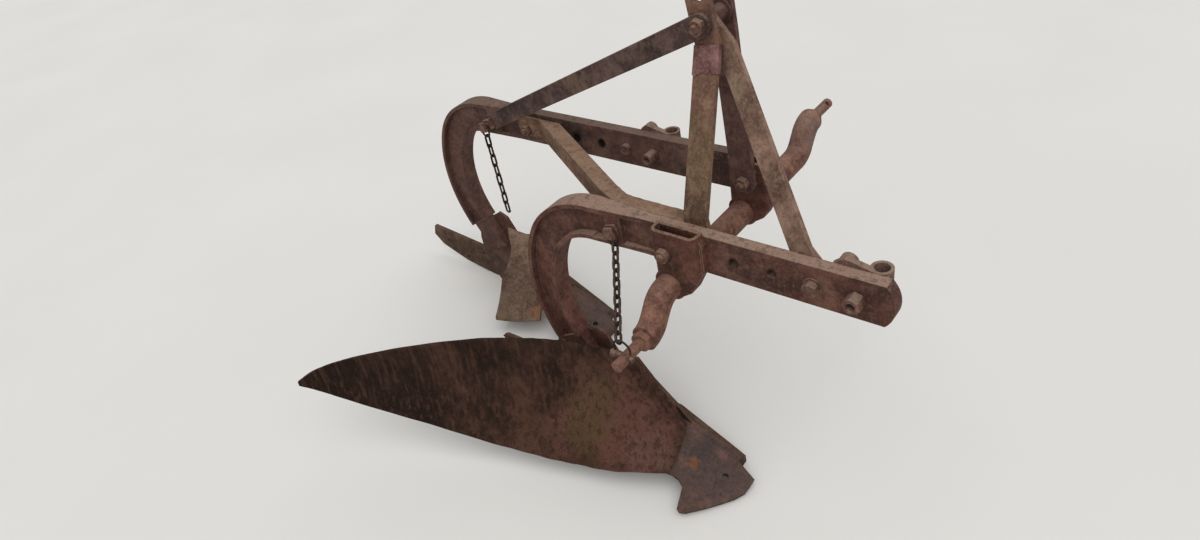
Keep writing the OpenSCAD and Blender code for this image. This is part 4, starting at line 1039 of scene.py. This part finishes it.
@dataclass
class Chain:
    """A hung chain: its shackle follows the solid's, and its links hang between the same two ends.

    Wires, widths and the bolt's parts are in millimetres. The number of links is a share of the solid's,
    and a weld swells its wire by a share. The bolt's head and nut are a width across flats and a height,
    and lie so far in from the bolt's ends.
    """

    body: Body
    wire: float = 5.2
    width: float = 17.0
    number_share: float = 0.71
    weld: float = 0.14
    shackle_wire: float = 4.5
    bolt: float = 16.0
    head: tuple[float, float] = (25.0, 7.0)
    head_in: float = 5.4
    nut: tuple[float, float] = (26.0, 13.0)
    nut_in: float = 17.7
    turns: tuple[float, float] = (18.0, 7.0)

    @staticmethod
    def oval(centre: np.ndarray, along: np.ndarray, across: np.ndarray, half: float, r: float, wire: float,
             weld: float) -> Skin:
        """An oval of round wire: two straight sides and two half circles, with the swelling of its weld,
        a bell curve, in the middle of one side.

        Args:
            centre: its middle, in metres.
            along: unit vector along it.
            across: unit vector across it, in its own plane.
            half: half the length of a straight side, in metres.
            r: radius of the half circles' middle line, in metres.
            wire: the wire's diameter, in metres.
            weld: the swelling, as a share of the wire.

        Returns:
            The oval's skin, in metres.
        """
        a = np.linspace(-np.pi / 2, np.pi / 2, 11)
        straight = np.linspace(1, -1, 8)[1:-1]
        xs = np.concatenate([half + r * np.cos(a), half * straight, -half - r * np.cos(a), -half * straight])
        ys = r * np.concatenate([np.sin(a), np.ones(len(straight)), -np.sin(a), -np.ones(len(straight))])
        path = centre + xs[:, None] * along + ys[:, None] * across
        thick = wire / 2 * (1 + weld * np.exp(-((xs / (0.25 * r)) ** 2)) * (ys > 0))
        return swept(path, thick, 10, True, np.cross(along, across))

    @staticmethod
    def frame_of(points: np.ndarray) -> tuple[np.ndarray, np.ndarray, np.ndarray]:
        """Middle, axes from the longest to the shortest, and sizes along them, of a plain oval's points."""
        centre = (points.min(axis=0) + points.max(axis=0)) / 2
        _, _, axes = np.linalg.svd(points - centre, full_matrices=False)
        return centre, axes, np.ptp((points - centre) @ axes.T, axis=0)

    def links(self, parts: list[np.ndarray]) -> list[Skin]:
        """Lays links along the line through the solid's links, from their first inner end to their last:
        a link's middle lies one inner length past the one before, and each is turned by 90 degrees. Their
        number keeps the solid's odd or even, so that both ends meet what holds them as the solid's do.

        Args:
            parts: points of each of the solid's links, in metres.

        Returns:
            The links' skins.
        """
        parts = sorted(parts, key=lambda p: -p[:, 2].mean())
        middles = np.array([self.frame_of(p)[0] for p in parts])
        line = np.concatenate([[1.5 * middles[0] - 0.5 * middles[1]], middles,
                               [1.5 * middles[-1] - 0.5 * middles[-2]]])
        length = np.concatenate([[0], np.cumsum(np.linalg.norm(np.diff(line, axis=0), axis=1))])
        count = len(parts) - 2 * round(len(parts) * (1 - self.number_share) / 2)
        inner = length[-1] / count
        at = np.arange(count + 1) * inner
        ends = np.stack([np.interp(at, length, line[:, k]) for k in range(3)], -1)
        wire = self.wire * MM
        r = (self.width * MM - wire) / 2
        side = self.frame_of(parts[0])[1][1]
        skins = []
        for k, (top, end) in enumerate(zip(ends[:-1], ends[1:])):
            along = unit(end - top)
            flat = unit(side - (side @ along) * along)
            across = np.cross(along, flat) if k % 2 else flat
            half = (inner + wire) / 2 - r
            skins.append(self.oval((top + end) / 2, along, across, half, r, wire, self.weld))
        return skins

    def build(self, node: bpy.types.Object) -> tuple[Skin, np.ndarray, np.ndarray]:
        """Builds the shackle and the links, and finds the bolt that carries them.

        Args:
            node: the chain's solid in the frame.

        Returns:
            The skin in metres, and the bolt's right and left ends on its axis, in millimetres.
        """
        parts = islands(node)
        bolt = parts.pop(int(np.argmax([np.ptp(p, axis=0)[1] for p in parts])))
        shackle = parts.pop(int(np.argmax([np.ptp(p, axis=0).max() for p in parts])))
        centre, axes, size = self.frame_of(shackle)
        wire = self.shackle_wire * MM
        long_r, r = (size[:2] - BAR_SHARE * wire) / 2
        bow = self.oval(centre, axes[0], axes[1], long_r - r, r, wire, 0.0)
        low, high = bolt.min(axis=0), bolt.max(axis=0)
        middle = (low + high) / 2
        right, left = (np.array([middle[0], y, middle[2]]) / MM - ROW_SHIFT for y in (low[1], high[1]))
        return joined([bow] + self.links(parts)), right, left

    def dress(self, maker: Maker, nodes: dict[str, bpy.types.Object]) -> None:
        """Makes the chain and its bolt; together they stand for the chain's solid."""
        name = f"chain_{self.body.value}"
        links, right, left = self.build(nodes[name])
        maker.piece(f"{name}_links", links, "chain_rust", "chain", (name,), crease=80.0)
        root, root_in = ROOT_NUT[self.body]
        bolt = joined([
            placed(Hardware.rod(self.bolt, left[1] - right[1], THREAD), right, LEFT),
            placed(Hardware.block(*self.head), right + [0, self.head_in, 0], RIGHT, self.turns[0]),
            placed(Hardware.nut(self.nut[0], root, 4), right + [0, root_in, 0], RIGHT, self.turns[0]),
            placed(Hardware.nut(*self.nut), left - [0, self.nut_in, 0], LEFT, self.turns[1])])
        maker.piece(f"{name}_bolt", bolt.in_row(), "fastener_rust", "chain")


@dataclass
class LinchPin:
    """The flat-headed linch pin of the right link pin, and the spring ring that keeps it.

    Diameters of the shank, its head, the link pin that it goes through, the ring and its wire, in
    millimetres.
    """

    at: Point = (-340.0, -180.0, -124.0)
    shank: float = 11.0
    head: float = 16.0
    pin: float = 22.2
    ring: float = 40.0
    wire: float = 4.0

    def build_pin(self) -> Skin:
        """A shank with a rounded tip, a collar and a domed head, turned and laid along -X."""
        r, cap = self.shank / 2, self.head / 2
        start, neck, top = -self.pin / 2 - 6, self.pin / 2 + 8, self.pin / 2 + 22
        profile = np.array([
            (0.25 * r, start), (0.7 * r, start + 0.6), (0.93 * r, start + 2.2), (r, start + 4.5),
            (r, neck - 0.5), (cap - 1.0, neck), (cap, neck + 1.2), (cap, top - 2.5),
            (cap - 0.8, top - 1.0), (cap - 2.6, top - 0.2), (1.5, top)])
        return placed(turned(profile, 28), np.array(self.at), (-1.0, 0.0, 0.0)).in_row()

    def build_ring(self) -> Skin:
        """Round wire along an arc of 235 degrees in the plane of X and Z."""
        middle = np.array(self.at) + [-5.0, 0.0, self.ring / 2 - self.wire / 2 + 1.5]
        a = np.radians(np.linspace(-25.0, 210.0, 56))
        r = (self.ring - self.wire) / 2
        path = middle + np.stack([r * np.cos(a), np.zeros(len(a)), r * np.sin(a)], -1)
        thick = self.wire / 2 * np.minimum(1.0, 0.75 + 8 * np.minimum(a - a[0], a[-1] - a))
        return swept(path, thick, 12, False, np.array(LEFT)).in_row()

    def dress(self, maker: Maker) -> None:
        """Makes both pieces, which stand for their solids."""
        maker.piece("linch_pin_shank", self.build_pin(), "fastener_rust", "chain", ("linch_pin",))
        maker.piece("linch_ring_wire", self.build_ring(), "chain_rust", "chain", ("linch_ring",),
                    crease=80.0)


# ---- sleeve


@dataclass
class TornSleeve:
    """What is left of a sheet sleeve round the upright: bent round its corners, ragged at its lower edge.

    The sheet's thickness, its reach above the solid and its outer and inner bends are in millimetres. Its
    tears are places round the upright, half widths and depths, as shares; the last one is a spike.
    """

    sheet: float = 1.5
    above: float = 9.0
    columns: int = 150
    rows: int = 26
    bends: tuple[float, float] = (2.6, 1.4)
    tears: tuple[Point, ...] = ((0.12, 0.016, 0.20), (0.235, 0.03, 0.09), (0.62, 0.012, 0.30),
                                (0.365, 0.018, -0.14))

    def build(self, node: bpy.types.Object) -> Skin:
        """Walks round a rounded rectangle between the solid's inner and outer walls and hangs a strip from
        its top, whose length at each place is the lower edge's profile.

        Args:
            node: the sleeve's solid in the frame.

        Returns:
            The sleeve's skin, in metres.
        """
        points = np.concatenate(islands(node)) / MM
        centre = (points.min(axis=0) + points.max(axis=0)) / 2
        _, _, axes = np.linalg.svd(points - points.mean(axis=0), full_matrices=False)
        axes = self.sorted_axes(axes)
        local = (points - centre) @ axes.T
        low, high = local.min(axis=0), local.max(axis=0)
        length, width, depth = high - low
        s = np.linspace(0, 1, self.columns, endpoint=False)
        outer = self.around(s, width, depth, self.bends[0])
        inner = self.around(s, width - 2 * self.sheet, depth - 2 * self.sheet, self.bends[1])
        t = np.linspace(0, 1, self.rows)
        reach = length * self.lower_edge(s)
        curl = 0.9 * np.sin(2 * np.pi * 9 * s) * np.sin(2 * np.pi * 2 * s + 1)

        def layer(loop: np.ndarray) -> np.ndarray:
            """One wall of the sheet, flared a little at its ragged edge."""
            flare = (1 + (t[None, :] ** 3) * (curl[:, None] * 0.02 + 0.01))[..., None]
            drop = low[0] - self.above + t[None, :] * (reach[:, None] + self.above)
            sides = loop[:, None] * flare + (low[1:] + high[1:]) / 2
            return centre + np.concatenate([drop[..., None], sides], -1) @ axes

        return ringed(np.concatenate([layer(outer), layer(inner)[:, ::-1]], axis=1) * MM)

    @staticmethod
    def sorted_axes(axes: np.ndarray) -> np.ndarray:
        """Puts in order, of three axes, the one that runs down, the one along X and the one across."""
        down = axes[np.argmax(np.abs(axes[:, 2]))]
        wide = axes[np.argmax(np.abs(axes[:, 0]))]
        down = down * (-1 if down[2] > 0 else 1)
        wide = wide * (-1 if wide[0] < 0 else 1)
        return np.stack([down, wide, np.cross(down, wide)])

    @staticmethod
    def around(s: np.ndarray, width: float, depth: float, radius: float) -> np.ndarray:
        """Points on a rounded rectangle: a point of its outline by length, its corners cut to arcs.

        Args:
            s: places round the outline, 0 to 1.
            width: its first side.
            depth: its second side.
            radius: its corners' radius.

        Returns:
            The points, two numbers each.
        """
        w, d = width / 2, depth / 2
        arc = np.radians(np.linspace(0, 90, 5))
        corner = np.stack([np.cos(arc), np.sin(arc)], -1) * radius
        loop = []
        for sx, sy, turn in ((1, 1, 0), (-1, 1, 90), (-1, -1, 180), (1, -1, 270)):
            a = math.radians(turn)
            spin = np.array([[math.cos(a), math.sin(a)], [-math.sin(a), math.cos(a)]])
            loop.append(corner @ spin + [sx * (w - radius), sy * (d - radius)])
        loop = np.concatenate(loop + [loop[0][:1]])
        steps = np.concatenate([[0], np.cumsum(np.linalg.norm(np.diff(loop, axis=0), axis=1))])
        at = s * steps[-1]
        return np.stack([np.interp(at, steps, loop[:, k]) for k in (0, 1)], -1)

    def lower_edge(self, s: np.ndarray) -> np.ndarray:
        """Length of the strip at each place, as a share: short waves of tearing, less a bell curve for each
        of the tears."""
        ragged = 0.87 + 0.030 * np.sin(61 * s) * np.sin(23 * s + 2) + 0.016 * np.sin(173 * s)
        for at, wide, deep in self.tears:
            ragged = ragged - deep * np.exp(-((s - at) / wide) ** 2)
        return np.clip(ragged, 0.3, 1.0)

    def dress(self, maker: Maker, nodes: dict[str, bpy.types.Object]) -> None:
        """Makes the piece, which stands for the sleeve's solid."""
        name = "torn_sleeve"
        maker.piece("sleeve_sheet", self.build(nodes[name]), "sleeve_paint", "sleeve", (name,))


# ---- fasteners

# The threads' pitch, and the holes of a long nut, of a round sleeve and of a washer, in millimetres
THREAD = 2.0
TUBE_HOLE, SLEEVE_HOLE, WASHER_HOLE = 15.0, 14.0, 16.0


class Hardware:
    """Shapes of bolts and nuts in millimetres, standing on their seat with Z outwards."""

    @staticmethod
    def nut(across: float, height: float, flats: int = 6) -> Skin:
        """A nut or plain head: a prism with its outer corners turned off.

        Args:
            across: width across flats.
            height: its height.
            flats: number of flats.

        Returns:
            The skin.
        """
        corner = across / 2 / math.cos(math.pi / flats)
        edge = 0.5 * across * 0.97
        profile = np.array([
            (0.3 * edge, 0.0), (0.92 * corner, 0.0), (corner, 0.07 * height), (corner, 0.72 * height),
            (0.5 * (corner + edge), 0.9 * height), (edge, height), (0.5 * edge, height * 1.015)])
        return turned(profile, 48, flats, across)

    @staticmethod
    def block(across: float, height: float) -> Skin:
        """A square head with rounded corners and a hammered dome.

        Args:
            across: width across flats.
            height: its height.

        Returns:
            The skin.
        """
        corner = across * 0.66
        profile = np.array([
            (0.3 * across, 0.0), (corner * 0.96, 0.2), (corner, 0.18 * height), (corner, 0.7 * height),
            (0.5 * across, 0.92 * height), (0.3 * across, 1.05 * height), (0.1 * across, 1.1 * height)])
        return turned(profile, 40, 4, across)

    @staticmethod
    def washer(across: float, hole: float, height: float) -> Skin:
        """A flat ring with rounded edges."""
        a, b = hole / 2, across / 2
        profile = np.array([(a, 0.0), (b - 0.3, 0.0), (b, 0.25 * height), (b, 0.75 * height),
                            (b - 0.5, height), (a + 0.3, height), (a, 0.8 * height)])
        return turned(profile, 36, ring=True)

    @staticmethod
    def rod(across: float, length: float, pitch: float) -> Skin:
        """A threaded rod with bevelled ends, its thread worn to a third of its depth.

        Args:
            across: the rod's diameter.
            length: its length.
            pitch: the thread's pitch.

        Returns:
            The skin.
        """
        ends, step = min(26.0, length / 2), pitch / 5
        z = np.concatenate([np.arange(0.0, ends, step), np.arange(length - ends, length, step), [length]])
        z = np.unique(np.round(z, 4))
        bevel = np.minimum(1.0, 0.78 + np.minimum(z, length - z) / 9.0)
        return turned(np.stack([across / 2 * bevel, z], -1), 24, thread=(pitch, 0.45))

    @staticmethod
    def tube(across: float, hole: float, height: float, flats: int) -> Skin:
        """A long nut with an open hollow end, or a round sleeve if it has no flats.

        Args:
            across: its width.
            hole: the hollow's diameter.
            height: its height.
            flats: number of flats, or 0.

        Returns:
            The skin.
        """
        b = across / 2 / math.cos(math.pi / flats) if flats else across / 2
        a = hole / 2
        profile = np.array([
            (a, 0.0), (b * 0.94, 0.0), (b, 1.0), (b, height - 3.2), (across / 2 * 0.985, height - 0.6),
            (across / 2 * 0.86, height), (a + 0.8, height), (a, height - 1.0), (a * 0.97, height * 0.45)])
        return turned(profile, 48, flats, across, ring=True)


@dataclass(frozen=True)
class Fastener:
    """One end of a bolt: its shape, the middle of its seat on the plough's axes, and where it points."""

    shape: Shape
    at: Point
    out: Point
    across: float = 24.0
    height: float = 11.0
    turn: float = 0.0
    end: float = 8.0

    def parts(self) -> list[Skin]:
        """What the shape holds, standing on its seat."""
        h, across, height = Hardware, self.across, self.height
        if self.shape is Shape.WASHER:
            return [h.washer(across, WASHER_HOLE, height)]
        if self.shape is Shape.HEX_HEAD:
            return [h.nut(across, height)]
        if self.shape is Shape.NUT_AND_END:
            return [h.nut(across, height), h.rod(min(0.66 * across, 16.0), height + self.end, THREAD)]
        hole, flats = (TUBE_HOLE, 6) if self.shape is Shape.TUBE_NUT else (SLEEVE_HOLE, 0)
        return [h.tube(across, hole, height, flats), h.nut(hole - 0.1, height * 0.5, 12)]

    def build(self) -> list[Skin]:
        """Skins of its parts on the plough's axes, in millimetres."""
        return [placed(skin, np.array(self.at), self.out, self.turn) for skin in self.parts()]


@dataclass
class FastenerSet:
    """The bolts and nuts of one sub-assembly, as one piece."""

    name: str
    fasteners: tuple[Fastener, ...]
    body: Body = Body.FRONT

    def dress(self, maker: Maker) -> None:
        """Makes the set's piece."""
        whole = joined([skin for f in self.fasteners for skin in f.build()])
        maker.piece(self.name, whole.in_row(self.body), "fastener_rust", "cast", crease=30.0)


def fastener_sets() -> list[FastenerSet]:
    """Lists every bolt and nut that the plough shows, by sub-assembly."""
    f, s = Fastener, Shape
    return [
        FastenerSet("beam_front_bolts", (
            f(s.TUBE_NUT, (0, 0, 0), RIGHT, 27.0, 24.0, 12.0),
            f(s.HEX_HEAD, (0, 36.6, 0), LEFT, 25.0, 11.0, 20.0),
            f(s.WASHER, (-73, 0, 0), RIGHT, 34.0, 3.0),
            f(s.HEX_HEAD, (-73, -3, 0), RIGHT, 25.0, 14.0, 8.0),
            f(s.NUT_AND_END, (-73, 34.6, 0), LEFT, 25.0, 13.0, 10.0, 6.0),
            f(s.NUT_AND_END, (-343, -30.3, 0), RIGHT, 26.0, 12.0, 24.0, 5.0),
            f(s.HEX_HEAD, (-347, 24.0, 0), LEFT, 24.0, 10.0, 5.0),
            f(s.NUT_AND_END, (-300, 34.6, 0), LEFT, 24.0, 13.0, 5.0, 10.0))),
        FastenerSet("beam_rear_bolts", (
            f(s.SLEEVE_NUT, (0, 0, 0), RIGHT, 26.0, 30.0),
            f(s.HEX_HEAD, (0, 36.6, 0), LEFT, 25.0, 11.0, 14.0),
            f(s.HEX_HEAD, (-73, 0, 0), RIGHT, 25.0, 11.0, 4.0),
            f(s.NUT_AND_END, (-73, 24.0, 0), LEFT, 25.0, 13.0, 22.0, 9.0)), Body.REAR),
        FastenerSet("mast_bolts", (
            f(s.NUT_AND_END, (-326, 220.6, 8), RIGHT, 26.0, 13.0, 20.0, 8.0),
            f(s.HEX_HEAD, (-326, 285.5, 8), LEFT, 25.0, 11.0, 8.0),
            f(s.NUT_AND_END, (-348.7, 156.9, 343.4), RIGHT, 27.0, 13.0, 15.0, 7.0),
            f(s.HEX_HEAD, (-348.7, 239.8, 343.4), LEFT, 27.0, 12.0, 8.0))),
        FastenerSet("brace_bolts", (
            f(s.NUT_AND_END, (-939, 253.9, -3), RIGHT, 24.0, 12.0, 25.0, 6.0),
            f(s.HEX_HEAD, (-939, 285.5, -3), LEFT, 24.0, 10.0, 9.0))),
    ]


# ---- studio

# Name, strength, and width, tilt from above and turn in degrees, of each lamp
LAMPS = (("top_lamp", 1.45, 70.0, 22.0, 60.0), ("side_lamp", 0.55, 60.0, 62.0, 35.0))


@dataclass
class Studio:
    """Camera, soft lights and the plain pale floor. Places are in metres, angles in degrees."""

    eye: Point = (1.1358, -1.0074, 1.4276)
    yaw: float = 45.55
    pitch: float = 36.18
    roll: float = -12.36
    lens: float = 23.82
    floor_half: float = 14.0
    floor_z: float = -0.0006
    floor_colour: Colour = (0.86, 0.855, 0.845)
    sky_seen: Colour = (0.90, 0.895, 0.885)
    sky_strength: float = 0.55
    lamp_colour: Colour = (1.0, 0.985, 0.96)

    @staticmethod
    def link(name: str, data: bpy.types.ID) -> bpy.types.Object:
        """Makes an object of that name and puts it in the scene."""
        made = bpy.data.objects.new(name, data)
        bpy.context.scene.collection.objects.link(made)
        return made

    def camera(self) -> None:
        """Sets the camera from its place and its three angles: yaw from +Y towards -X, pitch down, roll."""
        y, p, r = (math.radians(v) for v in (self.yaw, self.pitch, self.roll))
        ahead = np.array([-math.sin(y) * math.cos(p), math.cos(y) * math.cos(p), -math.sin(p)])
        level = unit(np.cross(ahead, [0, 0, 1]))
        right = math.cos(r) * level + math.sin(r) * np.cross(level, ahead)
        data = bpy.data.cameras.new("camera")
        data.sensor_fit, data.sensor_width, data.lens = "HORIZONTAL", 36.0, self.lens
        data.clip_start, data.clip_end = 0.05, 100.0
        made = self.link("camera", data)
        turn = np.eye(4)
        turn[:3] = np.stack([right, np.cross(right, ahead), -ahead, self.eye], -1)
        made.matrix_world = Matrix(turn.tolist())
        bpy.context.scene.camera = made

    def floor(self) -> None:
        """A large pale floor that keeps the shadow, a hair under the plough."""
        h, z = self.floor_half, self.floor_z
        mesh = bpy.data.meshes.new("floor")
        mesh.from_pydata([(-h, -h, z), (h, -h, z), (h, h, z), (-h, h, z)], [], [(0, 1, 2, 3)])
        shade = Shade("floor_paint")
        low = tuple(0.985 * c for c in self.floor_colour)
        tone = shade.blend(shade.band(shade.noise(1.3, 3.0, 0.5), (0.2, 0.8)), linear(low),
                           linear(self.floor_colour))
        mesh.materials.append(shade.surface(
            {"Base Color": tone, "Roughness": 0.95, "Specular IOR Level": 0.1}))
        made = self.link("floor", mesh)

    def light(self) -> None:
        """A pale sky all round, brighter to the eye than its light, one large soft lamp from above and one
        weaker from the right front."""
        world = bpy.data.worlds.new("sky")
        bpy.context.scene.world = world
        world.use_nodes = True
        tree = world.node_tree
        tree.nodes.clear()
        path, mix, end = (tree.nodes.new(kind) for kind in (
            "ShaderNodeLightPath", "ShaderNodeMixShader", "ShaderNodeOutputWorld"))
        tree.links.new(path.outputs["Is Camera Ray"], mix.inputs["Fac"])
        for number, colour, strength in ((1, EVEN, self.sky_strength), (2, self.sky_seen, 1.0)):
            sky = tree.nodes.new("ShaderNodeBackground")
            sky.inputs["Color"].default_value = linear(colour)
            sky.inputs["Strength"].default_value = strength
            tree.links.new(sky.outputs[0], mix.inputs[number])
        tree.links.new(mix.outputs[0], end.inputs["Surface"])
        for name, strength, wide, tilt, turn in LAMPS:
            data = bpy.data.lights.new(name, "SUN")
            data.energy, data.angle, data.color = strength, math.radians(wide), self.lamp_colour
            self.link(name, data).rotation_euler = (math.radians(tilt), 0.0, math.radians(turn))

    def build(self) -> None:
        """Sets up camera, floor and lights."""
        self.camera()
        self.floor()
        self.light()
        bpy.context.scene.view_settings.view_transform = "Standard"


def main() -> None:
    logging.basicConfig(level=logging.INFO, format="%(name)s %(message)s")
    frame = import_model()
    nodes = frame["nodes"]
    Studio().build()
    finisher = Finisher()
    maker = Maker(finisher)
    finisher.dress_nodes(nodes)
    Mouldboard().dress(maker)
    for body in Body:
        FrogFace(body).dress(maker)
        Chain(body).dress(maker, nodes)
    LinchPin().dress(maker)
    TornSleeve().dress(maker, nodes)
    BraceShelf().dress(maker)
    WornLandside().dress(maker, nodes)
    for fasteners in fastener_sets():
        fasteners.dress(maker)


if __name__ == "__main__":
    main()
